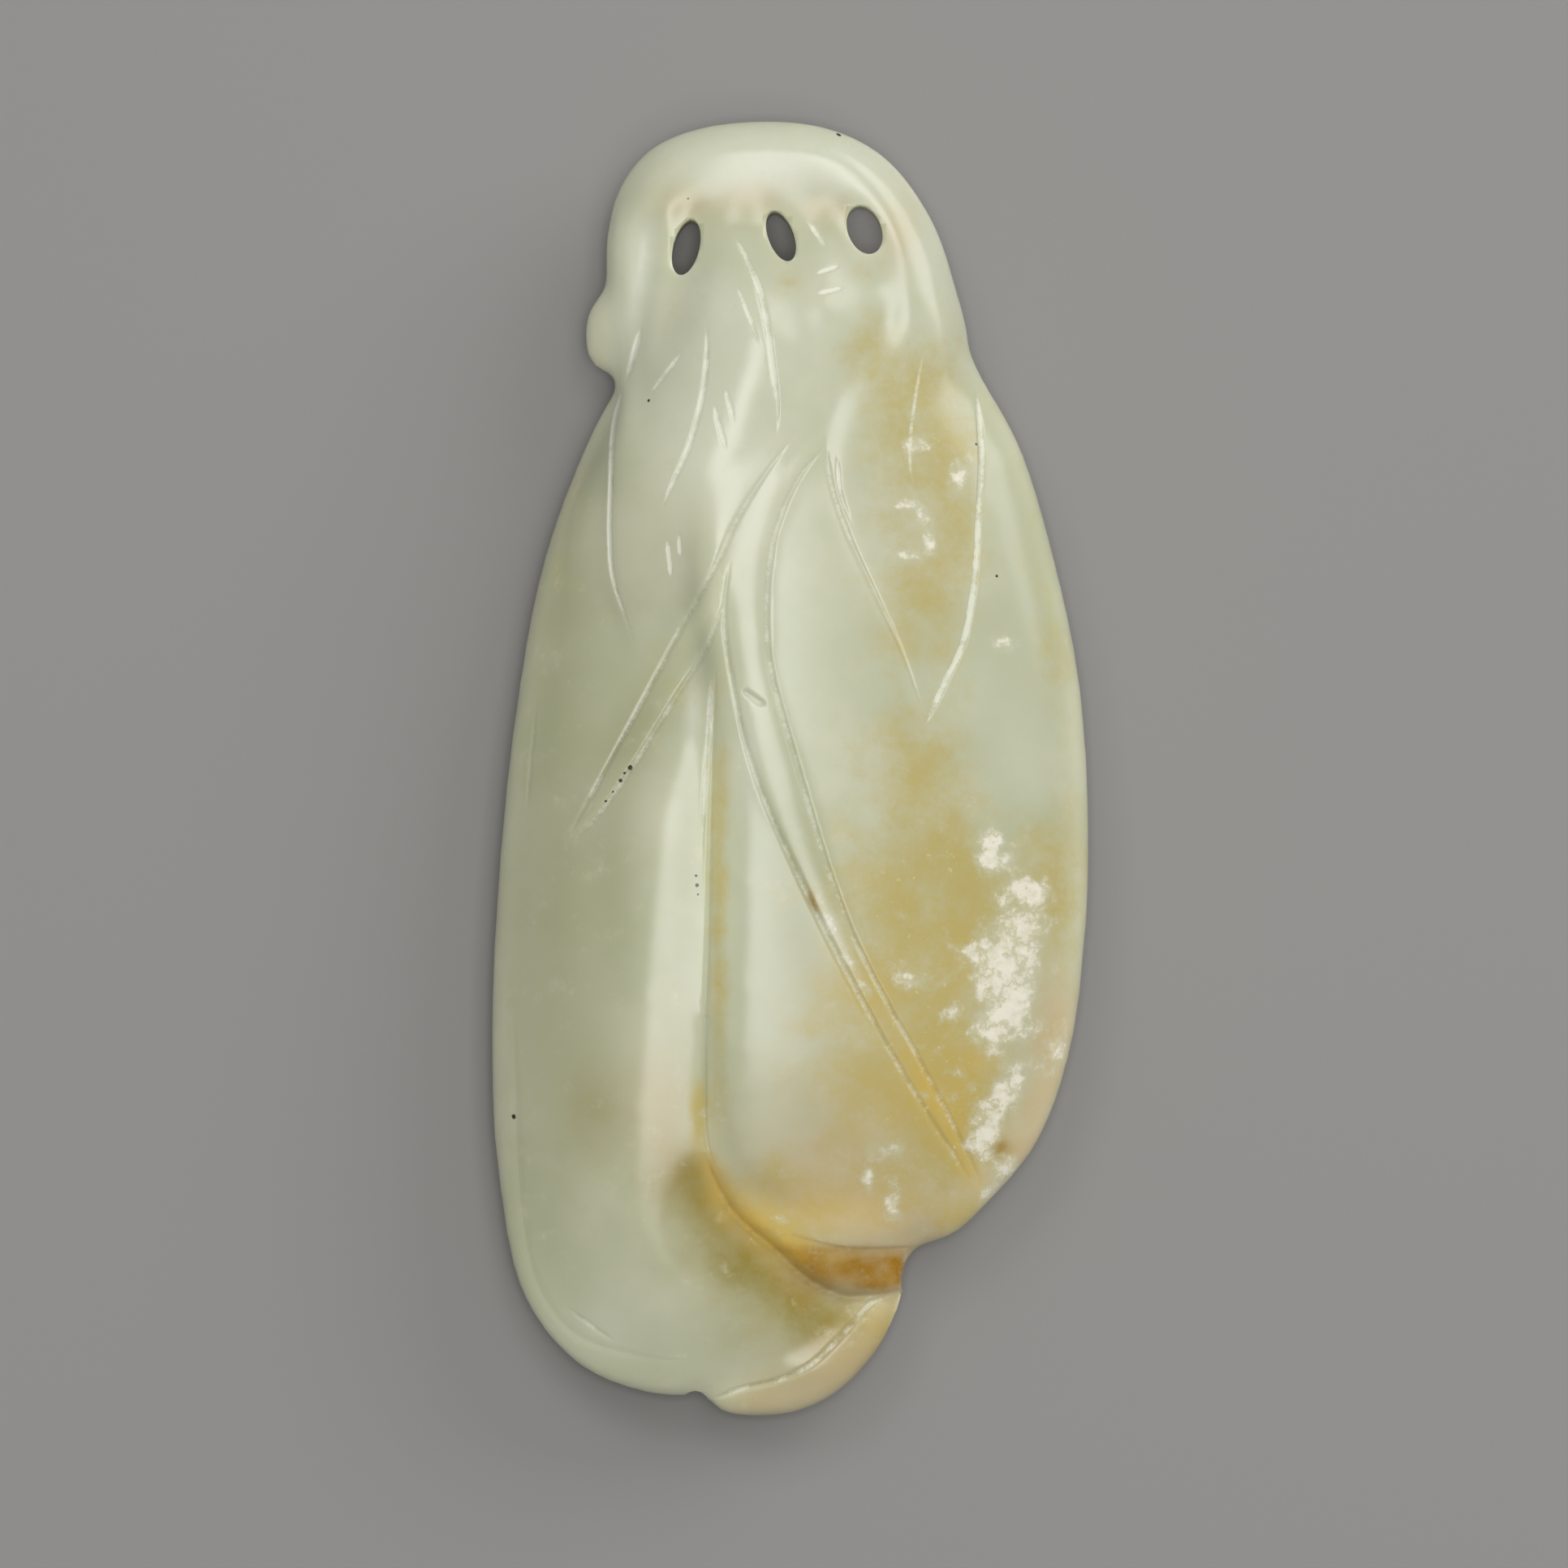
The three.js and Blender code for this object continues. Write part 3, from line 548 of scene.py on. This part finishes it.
def nearest(plan, curve):
    """Distance from plan points to a curve, the side (+1 is left of travel) and the share of its length."""
    distance = np.full(len(plan), np.inf)
    side = np.ones(len(plan))
    share = np.zeros(len(plan))
    steps = np.diff(curve, axis=0)
    lengths = np.linalg.norm(steps, axis=1)
    travelled = np.concatenate([[0], np.cumsum(lengths)])
    for start, step, length, before in zip(curve, steps, lengths, travelled):
        if length < TINY:
            continue
        offset = plan - start
        along = np.clip((offset @ step) / length**2, 0, 1)
        gap = np.linalg.norm(offset - along[:, None] * step, axis=1)
        closer = gap < distance
        distance[closer] = gap[closer]
        side[closer] = np.where(step[0] * offset[closer, 1] - step[1] * offset[closer, 0] >= 0, 1, -1)
        share[closer] = (before + along[closer] * length) / travelled[-1]
    return distance, side, share


def close_by(plan, curve, margin):
    """Which plan points lie in a curve's box, with a margin round it."""
    return np.flatnonzero(((plan > curve.min(0) - margin) & (plan < curve.max(0) + margin)).all(1))


def inside(plan, outline, margin=1.0):
    """Signed distance into a closed outline: more than 0 within it, and minus infinity far outside it."""
    ring = smooth_curve(outline, closed=True)
    signed = np.full(len(plan), -np.inf)
    near = close_by(plan, ring, margin)
    plan = plan[near]
    distance = nearest(plan, ring)[0]
    odd = np.zeros(len(plan), bool)
    for (ax, ay), (bx, by) in zip(ring[:-1], ring[1:]):
        if ay != by:
            crosses = (ay > plan[:, 1]) != (by > plan[:, 1])
            odd ^= crosses & (plan[:, 0] < ax + (bx - ax) * (plan[:, 1] - ay) / (by - ay))
    signed[near] = np.where(odd, distance, -distance)
    return signed


def cut_depth(plan, cut):
    """How deep a cut is at plan points, and how frosted, from 0 to 1."""
    curve = smooth_curve(cut["plan"])
    left, right = (cut.get(side, cut.get("width")) for side in ("left", "right"))
    near = close_by(plan, curve, max(left, right))
    depth = np.zeros(len(plan))
    core = np.zeros(len(plan))
    distance, side, share = nearest(plan[near], curve)
    start, stop = cut.get("fade", LINE_FADE)
    strength = np.ones(len(near))
    if start:
        strength *= smoothstep(0, start, share) ** TIP_SHAPE
    if stop:
        strength *= smoothstep(0, stop, 1 - share) ** TIP_SHAPE
    width = np.where(side > 0, left, right) * (TIP_WIDTH + (1 - TIP_WIDTH) * strength)
    wall = np.clip(1 - distance / width, 0, 1)
    depth[near] = cut["depth"] * strength * wall ** cut.get("slope", LINE_SLOPE)
    core[near] = strength * smoothstep(0, FROSTED_WALL, wall) * cut.get("frost", 0)
    return depth, core


def oval(plan, x, y, half_width, half_length, lean=0.0):
    """Squared distance from the centre of an oval, 1 at its rim."""
    turn = math.radians(lean)
    dx, dy = plan[:, 0] - x, plan[:, 1] - y
    across = dx * math.cos(turn) + dy * math.sin(turn)
    along = dy * math.cos(turn) - dx * math.sin(turn)
    return (across / half_width) ** 2 + (along / half_length) ** 2


def object_from(bm, name):
    """A new object of a bmesh, which is used up."""
    mesh = bpy.data.meshes.new(name)
    bm.to_mesh(mesh)
    bm.free()
    piece = bpy.data.objects.new(name, mesh)
    bpy.context.scene.collection.objects.link(piece)
    return piece


def work_in(piece):
    """Makes an object's modifiers part of its mesh."""
    graph = bpy.context.evaluated_depsgraph_get()
    mesh = bpy.data.meshes.new_from_object(piece.evaluated_get(graph))
    old = piece.data
    piece.modifiers.clear()
    piece.data = mesh
    bpy.data.meshes.remove(old)


def join_skin(piece, voxel):
    """Rebuilds a piece as one closed skin of even squares."""
    remesh = piece.modifiers.new("skin", "REMESH")
    remesh.mode = "VOXEL"
    remesh.voxel_size = voxel
    work_in(piece)


def cut_with(piece, cutter):
    """Takes one object's volume from a piece."""
    cut = piece.modifiers.new("cut", "BOOLEAN")
    cut.operation = "DIFFERENCE"
    cut.solver = "EXACT"
    cut.object = cutter
    work_in(piece)
    bpy.data.objects.remove(cutter)


def bore(at, half, lean=0.0, segments=48):
    """An oval rod through the pebble."""
    bm = bmesh.new()
    bmesh.ops.create_cone(bm, cap_ends=True, segments=segments, radius1=1.0, radius2=1.0, depth=BORE_LENGTH)
    bmesh.ops.scale(bm, verts=bm.verts, vec=(*half, 1.0))
    bmesh.ops.rotate(bm, verts=bm.verts, matrix=Matrix.Rotation(math.radians(lean), 3, "Z"))
    bmesh.ops.translate(bm, verts=bm.verts, vec=(*at, 0))
    return object_from(bm, "cutter")


def coords(mesh):
    """The places of a mesh's vertices, one to a row."""
    place = np.empty(len(mesh.vertices) * 3)
    mesh.vertices.foreach_get("co", place)
    return place.reshape(-1, 3)


def front_share(mesh, way=1):
    """How far each vertex faces the front, or the back: 0 at the girdle and beyond it, 1 on the face."""
    normals = np.empty(len(mesh.vertices) * 3)
    mesh.vertex_normals.foreach_get("vector", normals)
    return smoothstep(*FACING, way * normals.reshape(-1, 3)[:, 2])


def set_coords(mesh, place):
    """Moves a mesh's vertices to new places."""
    mesh.vertices.foreach_set("co", place.ravel())
    mesh.update()


def polish(mesh, rounds, chosen=None, factor=0.5):
    """Smooths the skin, all over or where chosen."""
    bm = bmesh.new()
    bm.from_mesh(mesh)
    bm.verts.ensure_lookup_table()
    verts = bm.verts[:] if chosen is None else [bm.verts[i] for i in np.flatnonzero(chosen)]
    for _ in range(rounds):
        bmesh.ops.smooth_vert(
            bm, verts=verts, factor=factor, use_axis_x=True, use_axis_y=True, use_axis_z=True)
    bm.to_mesh(mesh)
    bm.free()
    mesh.update()


def refine(mesh, reach):
    """Halves the squares within reach of a cut line."""
    plan = coords(mesh)[:, :2]
    front = front_share(mesh)
    chosen = np.zeros(len(plan), bool)
    for line in LINES:
        curve = smooth_curve(line["plan"])
        near = close_by(plan, curve, reach)
        chosen[near] |= nearest(plan[near], curve)[0] < reach
    chosen &= front > 0
    bm = bmesh.new()
    bm.from_mesh(mesh)
    bm.verts.ensure_lookup_table()
    edges = [e for e in bm.edges if chosen[e.verts[0].index] and chosen[e.verts[1].index]]
    bmesh.ops.subdivide_edges(bm, edges=edges, cuts=1, use_grid_fill=True)
    bm.to_mesh(mesh)
    bm.free()
    mesh.update()


def raise_leaves(mesh, sizes):
    """Raises the leaves and stalks from the fruits."""
    place = coords(mesh)
    plan = place[:, :2]
    leaves = [
        share * smoothstep(*LEAF_EDGE, inside(plan, leaf)) for leaf, share in zip(LEAVES, LEAF_SHARES)]
    stalks = [smoothstep(*STALK_EDGE, inside(plan, stalk)) for stalk in STALKS]
    on_leaf = np.max(leaves, axis=0)
    on_stalk = np.max(stalks, axis=0) * smoothstep(*STALK_END, plan[:, 1])
    rise = np.maximum(on_leaf * sizes.leaf_rise, on_stalk * sizes.stalk_rise) / MM
    place[:, 2] += rise * front_share(mesh)
    set_coords(mesh, place)


def shape_hood(mesh, sizes):
    """Rolls the rim of the stem loop, scoops the ground round the holes and flattens the left side."""
    place = coords(mesh)
    plan = place[:, :2]
    x, y = plan.T
    ramp = np.clip((inside(plan, CROWN["outline"]) - RIM["inner"]) / (RIM["outer"] - RIM["inner"]), 0, 1)
    depth = RIM["depth"] * ramp * smoothstep(*RIM["starts"], y)
    depth += LOOP_LEAN["slope"] * (x - LOOP_LEAN["right_of"]) * smoothstep(*LOOP_LEAN["starts"], y)
    for *place_and_size, hollow in HOLLOWS:
        ground = np.clip(1 - oval(plan, *place_and_size), 0, 1)
        depth += hollow * ground**HOLLOW_BOWL
    back = np.zeros(len(plan))
    for hole in HOLES:
        half_width, half_length = np.array(hole["half"]) * sizes.mouth_spread
        ground = np.clip(1 - oval(plan, *hole["at"], half_width, half_length, hole["lean"]), 0, 1)
        back += sizes.mouth_depth / MM * ground**MOUTH_BOWL
    place[:, 2] += back * front_share(mesh, -1) - depth * front_share(mesh)
    across, height = LIMB_FLAT["at"]
    over = np.clip(place[:, 2] - height + LIMB_FLAT["lean"] * (x - across), 0, 1)
    place[:, 2] -= over * smoothstep(*LIMB_FLAT["edge"], inside(plan, LIMB_FLAT["outline"]))
    set_coords(mesh, place)


def make_cuts(mesh, cuts):
    """Lowers the front along cuts and returns how frosted each vertex is."""
    place = coords(mesh)
    front = front_share(mesh)
    depths, cores = zip(*(cut_depth(place[:, :2], cut) for cut in cuts))
    place[:, 2] -= np.max(depths, axis=0) * front
    set_coords(mesh, place)
    return np.max(cores, axis=0) * front


def give_attribute(mesh, name, values):
    """Keeps one number for each vertex under a name."""
    mesh.attributes.new(name, "FLOAT", "POINT").data.foreach_set("value", values.astype(np.float32))


def spotted(plan, spots):
    """How strongly soft spots cover each place."""
    clear = np.ones(len(plan))
    for x, y, half_width, half_length, strength, *lean in spots:
        cover = strength * np.exp(-SPOT_FALLOFF * oval(plan, x, y, half_width, half_length, *lean))
        clear *= 1 - np.clip(cover, 0, 1)
    return 1 - clear


def stain(mesh):
    """Writes the stains, and the painted glow where light would show through, into the mesh for the
    material to read.
    """
    place = coords(mesh)
    plan = place[:, :2]
    height = place[:, 2] - GIRDLE
    front = smoothstep(*SKIN_RANGE, height)
    for name, spots in STAINS.items():
        give_attribute(mesh, name, spotted(plan, spots) * (front if name in SKIN_STAINS else 1))
    # Painted glow near the girdle and in the glow spots
    painted_glow = 1 - smoothstep(*THIN, np.abs(height))
    painted_glow *= 1 - spotted(plan, [THICK_TAIL])
    give_attribute(mesh, "painted_glow", np.maximum(painted_glow, front * spotted(plan, GLOWS)))


ColourProperty = partial(FloatVectorProperty, subtype="COLOR", size=3, min=0, max=1)


class PendantSizes(bpy.types.PropertyGroup):
    """Sizes of the carving."""

    length: FloatProperty(
        name="Length", description="From the stem loop to the tail leaf", default=CAD_HIGH.y - CAD_LOW.y,
        min=0.02, unit="LENGTH")
    leaf_rise: FloatProperty(
        name="Leaf rise", description="How far the leaves stand proud of the fruits", default=0.13 * MM,
        min=0.0, unit="LENGTH")
    stalk_rise: FloatProperty(
        name="Stalk rise", description="How far the stalks stand proud of the fruits", default=0.13 * MM,
        min=0.0, unit="LENGTH")
    mouth_spread: FloatProperty(
        name="Mouth spread", description="Width of the hollow round a hole, as a share of the hole",
        default=2.4, min=1.0, subtype="FACTOR")
    mouth_depth: FloatProperty(
        name="Mouth depth", description="Depth of the hollow round each hole", default=0.7 * MM, min=0.0,
        unit="LENGTH")
    skin: FloatProperty(
        name="Skin", description="Size of the squares of the skin", default=0.34 * MM, min=0.0002,
        unit="LENGTH")


class JadeColours(bpy.types.PropertyGroup):
    """Colours of the stone, some of which also paint shade, highlight and glow."""

    celadon: ColourProperty(
        name="Celadon", description="The pale green of the stone", default=(0.52, 0.54, 0.365))
    pale: ColourProperty(name="Pale", description="Paler clouds in the stone", default=(0.60, 0.605, 0.44))
    # Milky clouds, also used as painted highlight
    milk_and_highlight: ColourProperty(name="Milk", description="Milky white clouds", default=(0.70, 0.72, 0.585))
    # Greener clouds, also used as painted shade on the left flank
    moss_and_shade: ColourProperty(name="Moss", description="Darker, greener clouds", default=(0.30, 0.30, 0.15))
    # Browner clouds, also used as painted shade beside the foot
    olive_and_shade: ColourProperty(name="Olive", description="Darker, browner clouds", default=(0.29, 0.225, 0.025))
    warm: ColourProperty(name="Warm", description="Cream clouds", default=(0.58, 0.44, 0.23))
    yellow: ColourProperty(name="Yellow", description="Yellow stains", default=(0.53, 0.43, 0.135))
    # Golden skin, made bright enough to be a painted glow on the shaded band
    gold_and_glow: ColourProperty(name="Gold", description="Golden skin along the foot", default=(0.70, 0.47, 0.09))
    amber: ColourProperty(name="Amber", description="Amber skin in the cleft", default=(0.34, 0.17, 0.0))
    white: ColourProperty(name="White", description="White mottling", default=(0.88, 0.84, 0.71))
    flecks: ColourProperty(
        name="Flecks", description="Golden flecks in the stains", default=(0.80, 0.68, 0.36))
    frost: ColourProperty(
        name="Frost", description="Unpolished floor of a cut line", default=(0.84, 0.85, 0.72))
    iron: ColourProperty(name="Iron", description="Dark specks", default=(0.05, 0.045, 0.025))


class StageSettings(bpy.types.PropertyGroup):
    """Floor, light and camera."""

    floor: ColourProperty(name="Floor", description="Colour of the floor", default=(0.305, 0.30, 0.29))
    frame_width: FloatProperty(
        name="Frame width", description="Width of what the camera sees at the pendant", default=84.63 * MM,
        min=0.01, unit="LENGTH")
    camera_height: FloatProperty(
        name="Camera height", description="Height of the camera over the floor", default=0.6, min=0.1,
        unit="LENGTH")


def on_front(mesh, spots):
    """Gives each spot the height of the front under it."""
    place = coords(mesh)[front_share(mesh) > 0]
    heights = [place[np.argmin(np.hypot(place[:, 0] - x, place[:, 1] - y)), 2] for x, y, radius in spots]
    return [(x, y, z, radius) for (x, y, radius), z in zip(spots, heights)]


def jade_material(colours, specks):
    """Polished stone: clouds and stains over celadon, some with painted shade, highlight and glow, frost in
    the cut lines and dark specks.
    """
    material = bpy.data.materials.new("nephrite_jade")
    material.use_nodes = True
    nodes = material.node_tree.nodes
    links = material.node_tree.links
    shader = nodes["Principled BSDF"]
    place = nodes.new("ShaderNodeTexCoord").outputs["Object"]

    def texture(name):
        node = nodes.new("ShaderNodeTexNoise")
        for socket, number in zip(("Scale", "Detail", "Roughness"), TEXTURES[name]):
            node.inputs[socket].default_value = number
        links.new(place, node.inputs["Vector"])
        return node.outputs["Fac"]

    def attribute(name):
        node = nodes.new("ShaderNodeAttribute")
        node.attribute_name = name
        return node.outputs["Fac"]

    def spread(value, low, high, bottom=0.0, top=1.0, kind="SMOOTHSTEP"):
        node = nodes.new("ShaderNodeMapRange")
        node.interpolation_type = kind
        links.new(value, node.inputs["Value"])
        for name, number in (("From Min", low), ("From Max", high), ("To Min", bottom), ("To Max", top)):
            node.inputs[name].default_value = number
        return node.outputs["Result"]

    def plug(value, socket):
        if isinstance(value, bpy.types.NodeSocket):
            links.new(value, socket)
        else:
            socket.default_value = value

    def combine(kind, first, second=0.0):
        node = nodes.new("ShaderNodeMath")
        node.operation = kind
        plug(first, node.inputs[0])
        plug(second, node.inputs[1])
        return node.outputs["Value"]

    def swing(value, reach, middle=0.0):
        return spread(value, *TEXTURE_RANGE, middle - reach, middle + reach, "LINEAR")

    def ragged(value, swings):
        for name, reach in swings.items():
            value = combine("ADD", value, swing(textures[name], reach))
        return value

    def mix(share, ground, colour, kind="MIX"):
        node = nodes.new("ShaderNodeMix")
        node.data_type = "RGBA"
        node.blend_type = kind
        plug(share, node.inputs["Factor"])
        plug(ground, node.inputs[MIX_GROUND])
        plug((*colour, 1), node.inputs[MIX_COLOUR])
        return node.outputs[MIX_RESULT]

    def clouded(ground, name):
        return mix(combine("MULTIPLY", attribute(name), cloudy), ground, getattr(colours, name))

    textures = {name: texture(name) for name in TEXTURES}
    cloudy = swing(textures["drifts"], CLOUD_SWING, 1.0)
    colour = mix(spread(textures["clouds"], *RANGES["clouds"]), (*colours.celadon, 1), colours.pale)
    # Milky clouds, with painted highlight in some of the spots
    colour = clouded(colour, "milk_and_highlight")
    # Greener clouds, with painted shade down the left flank
    colour = mix(attribute("moss_and_shade"), colour, colours.moss_and_shade)
    # Browner clouds and patina, with painted shade beside the foot, and cream clouds
    for name in ("olive_and_shade", "warm"):
        colour = clouded(colour, name)
    edge = ragged(attribute("yellow"), YELLOW_SWING)
    colour = mix(spread(edge, *RANGES["yellow"]), colour, colours.yellow)
    # Golden skin with a painted glow along the foot, and amber skin
    for name in ("gold_and_glow", "amber"):
        colour = clouded(colour, name)

    # White mottling in a pale haze, with veins and grain through it
    edge = ragged(attribute("white"), WHITE_SWING)
    colour = mix(spread(edge, *RANGES["haze"]), colour, colours.pale)
    off_vein = combine("ABSOLUTE", combine("SUBTRACT", textures["veins"], sum(TEXTURE_RANGE) / 2))
    white = combine("MULTIPLY", spread(edge, *RANGES["white"]), spread(off_vein, *RANGES["veins"]))
    grainy = combine("MULTIPLY", white, spread(textures["grain"], *RANGES["grain"]))
    colour = mix(grainy, colour, colours.white)

    in_yellow = spread(attribute("yellow"), *RANGES["in_yellow"])
    flecks = combine("MULTIPLY", spread(textures["flecks"], *RANGES["flecks"]), in_yellow)
    colour = mix(combine("MULTIPLY", flecks, FLECK_SHARE), colour, colours.flecks)
    # Painted glow: brighter base colour where light would show through
    colour = mix(attribute("painted_glow"), colour, [GLOW_GAIN] * 3, "MULTIPLY")

    # Frost in the cut lines, broken along them
    scratch = attribute("cut")
    for name in ("scratches", "breaks"):
        scratch = combine("MULTIPLY", scratch, spread(textures[name], *RANGES[name]))
    frost = spread(scratch, *RANGES["frost"])
    colour = mix(frost, colour, colours.frost)

    nearest_speck = None
    for x, y, z, radius in specks:
        gap = nodes.new("ShaderNodeVectorMath")
        gap.operation = "DISTANCE"
        links.new(place, gap.inputs[0])
        gap.inputs[1].default_value = (x * MM, y * MM, z * MM)
        share = combine("DIVIDE", gap.outputs["Value"], radius * MM)
        nearest_speck = share if nearest_speck is None else combine("MINIMUM", nearest_speck, share)
    in_speck = spread(ragged(nearest_speck, SPECK_SWING), *RANGES["specks"])
    colour = mix(in_speck, colour, colours.iron)
    links.new(colour, shader.inputs["Base Color"])
    dull = combine("MAXIMUM", frost, spread(white, 0.0, 1.0, 0.0, MOTTLE_DULLNESS, "LINEAR"))
    links.new(spread(dull, 0.0, 1.0, *GLOSS, "LINEAR"), shader.inputs["Roughness"])
    for name, value in STONE.items():
        shader.inputs[name].default_value = value
    return material


def between(values, limits):
    """Which values lie between two limits."""
    return (values > limits[0]) & (values < limits[1])


def polish_forms(mesh):
    """Polishes the joined forms, and more where they meet in a crease that the carving doesn't have."""
    polish(mesh, FIRST_POLISH)
    on_loop = coords(mesh)[:, 1] > LOOP_POLISH["above"]
    polish(mesh, LOOP_POLISH["rounds"], on_loop & (front_share(mesh) > ON_FACE))
    x, y, _ = coords(mesh).T
    on_shoulder = (x < SHOULDER_POLISH["left_of"]) & between(y, SHOULDER_POLISH["between"])
    polish(mesh, SHOULDER_POLISH["rounds"], on_shoulder & (front_share(mesh) > 0))
    at_foot = nearest(coords(mesh)[:, :2], smooth_curve(FOOT_EDGE))[0] < FOOT_POLISH["reach"]
    polish(mesh, FOOT_POLISH["rounds"], at_foot & (front_share(mesh) > 0))


def polish_carving(mesh):
    """Polishes the carved skin, and more round the holes."""
    polish(mesh, LAST_POLISH)
    round_holes = between(coords(mesh)[:, 1], HOLE_POLISH["between"])
    polish(mesh, HOLE_POLISH["rounds"], round_holes & (front_share(mesh) > ON_FACE))


def softbox(name, place, width, height, power, shines=True):
    """A rectangular lamp that aims at the origin, and that may be left out of reflections."""
    light = bpy.data.lights.new(name, "AREA")
    light.shape = "RECTANGLE"
    light.size = width
    light.size_y = height
    light.energy = power
    lamp = bpy.data.objects.new(name, light)
    lamp.location = place
    lamp.visible_camera = False
    lamp.visible_glossy = shines
    back = Vector(place).normalized()
    up = back.cross((1, 0, 0)).normalized()
    lamp.rotation_euler = Matrix((up.cross(back), up, back)).transposed().to_euler()
    bpy.context.scene.collection.objects.link(lamp)


class JADE_OT_carve_pendant(bpy.types.Operator):
    """Carve the pendant from its forms and polish it"""

    bl_idname = "jade.carve_pendant"
    bl_label = "Carve Pendant"

    def execute(self, context):
        sizes = context.scene.jade_sizes
        forms = bmesh.new()
        for form in FORMS:
            mesh = rounded_form(form)
            forms.from_mesh(mesh)
            bpy.data.meshes.remove(mesh)
        piece = object_from(forms, "jade_pendant")
        join_skin(piece, sizes.skin / MM)
        mesh = piece.data
        if not mesh.polygons:
            raise RuntimeError("The forms left no skin to carve")
        polish_forms(mesh)
        shape_hood(mesh, sizes)
        make_cuts(mesh, BROAD_CUTS)
        raise_leaves(mesh, sizes)
        polish_carving(mesh)
        for opening in (*HOLES, NOTCH):
            cut_with(piece, bore(**opening))
        mesh = piece.data
        for reach in REFINED:
            refine(mesh, reach)
        frosted = make_cuts(mesh, LINES)
        place = coords(mesh)
        place[:, 2] = np.maximum(place[:, 2], 0)
        set_coords(mesh, place)
        give_attribute(mesh, "cut", frosted)
        stain(mesh)
        specks = on_front(mesh, SPECKS)
        mesh.transform(Matrix.Scale(sizes.length / DRAWN_LENGTH, 4))
        mesh.shade_smooth()
        mesh.materials.clear()
        mesh.materials.append(jade_material(context.scene.jade_colours, specks))
        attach(piece, "root")
        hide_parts(NODE)
        return {"FINISHED"}


class JADE_OT_set_stage(bpy.types.Operator):
    """Set the floor, the studio lights and the camera over the pendant"""

    bl_idname = "jade.set_stage"
    bl_label = "Set Stage"

    def execute(self, context):
        stage = context.scene.jade_stage
        bm = bmesh.new()
        bmesh.ops.create_grid(bm, x_segments=1, y_segments=1, size=FLOOR_HALF)
        floor = object_from(bm, "floor")
        material = bpy.data.materials.new("floor_paper")
        material.use_nodes = True
        shader = material.node_tree.nodes["Principled BSDF"]
        shader.inputs["Base Color"].default_value = (*stage.floor, 1)
        shader.inputs["Roughness"].default_value = FLOOR_ROUGHNESS
        floor.data.materials.append(material)

        for lamp in SOFTBOXES:
            softbox(**lamp)
        world = bpy.data.worlds.new("studio")
        world.use_nodes = True
        background = world.node_tree.nodes["Background"]
        background.inputs["Color"].default_value = (1.0, 1.0, 1.0, 1.0)
        background.inputs["Strength"].default_value = ROOM_LIGHT
        context.scene.world = world
        context.scene.view_settings.view_transform = "Standard"

        camera = bpy.data.cameras.new("camera")
        camera.sensor_width = SENSOR
        middle = CAD_HIGH.z / 2
        camera.lens = camera.sensor_width * (stage.camera_height - middle) / stage.frame_width
        eye = bpy.data.objects.new("camera", camera)
        eye.location = (*PICTURE_MIDDLE, stage.camera_height)
        context.scene.collection.objects.link(eye)
        context.scene.camera = eye
        return {"FINISHED"}


class JADE_PT_pendant(bpy.types.Panel):
    """Sizes, colours and steps of the jade pendant"""

    bl_label = "Jade Pendant"
    bl_space_type = "VIEW_3D"
    bl_region_type = "UI"
    bl_category = "Jade"

    def draw(self, context):
        for group in (context.scene.jade_sizes, context.scene.jade_colours, context.scene.jade_stage):
            for name in group.__annotations__:
                self.layout.prop(group, name)
        self.layout.operator(JADE_OT_carve_pendant.bl_idname)
        self.layout.operator(JADE_OT_set_stage.bl_idname)


GROUPS = {"jade_sizes": PendantSizes, "jade_colours": JadeColours, "jade_stage": StageSettings}
CLASSES = (*GROUPS.values(), JADE_OT_carve_pendant, JADE_OT_set_stage, JADE_PT_pendant)


def register():
    for cls in CLASSES:
        bpy.utils.register_class(cls)
    for name, group in GROUPS.items():
        setattr(bpy.types.Scene, name, PointerProperty(type=group))


def unregister():
    for name in GROUPS:
        delattr(bpy.types.Scene, name)
    for cls in reversed(CLASSES):
        bpy.utils.unregister_class(cls)


def main():
    register()
    bpy.ops.jade.carve_pendant()
    bpy.ops.jade.set_stage()


if __name__ == "__main__":
    main()
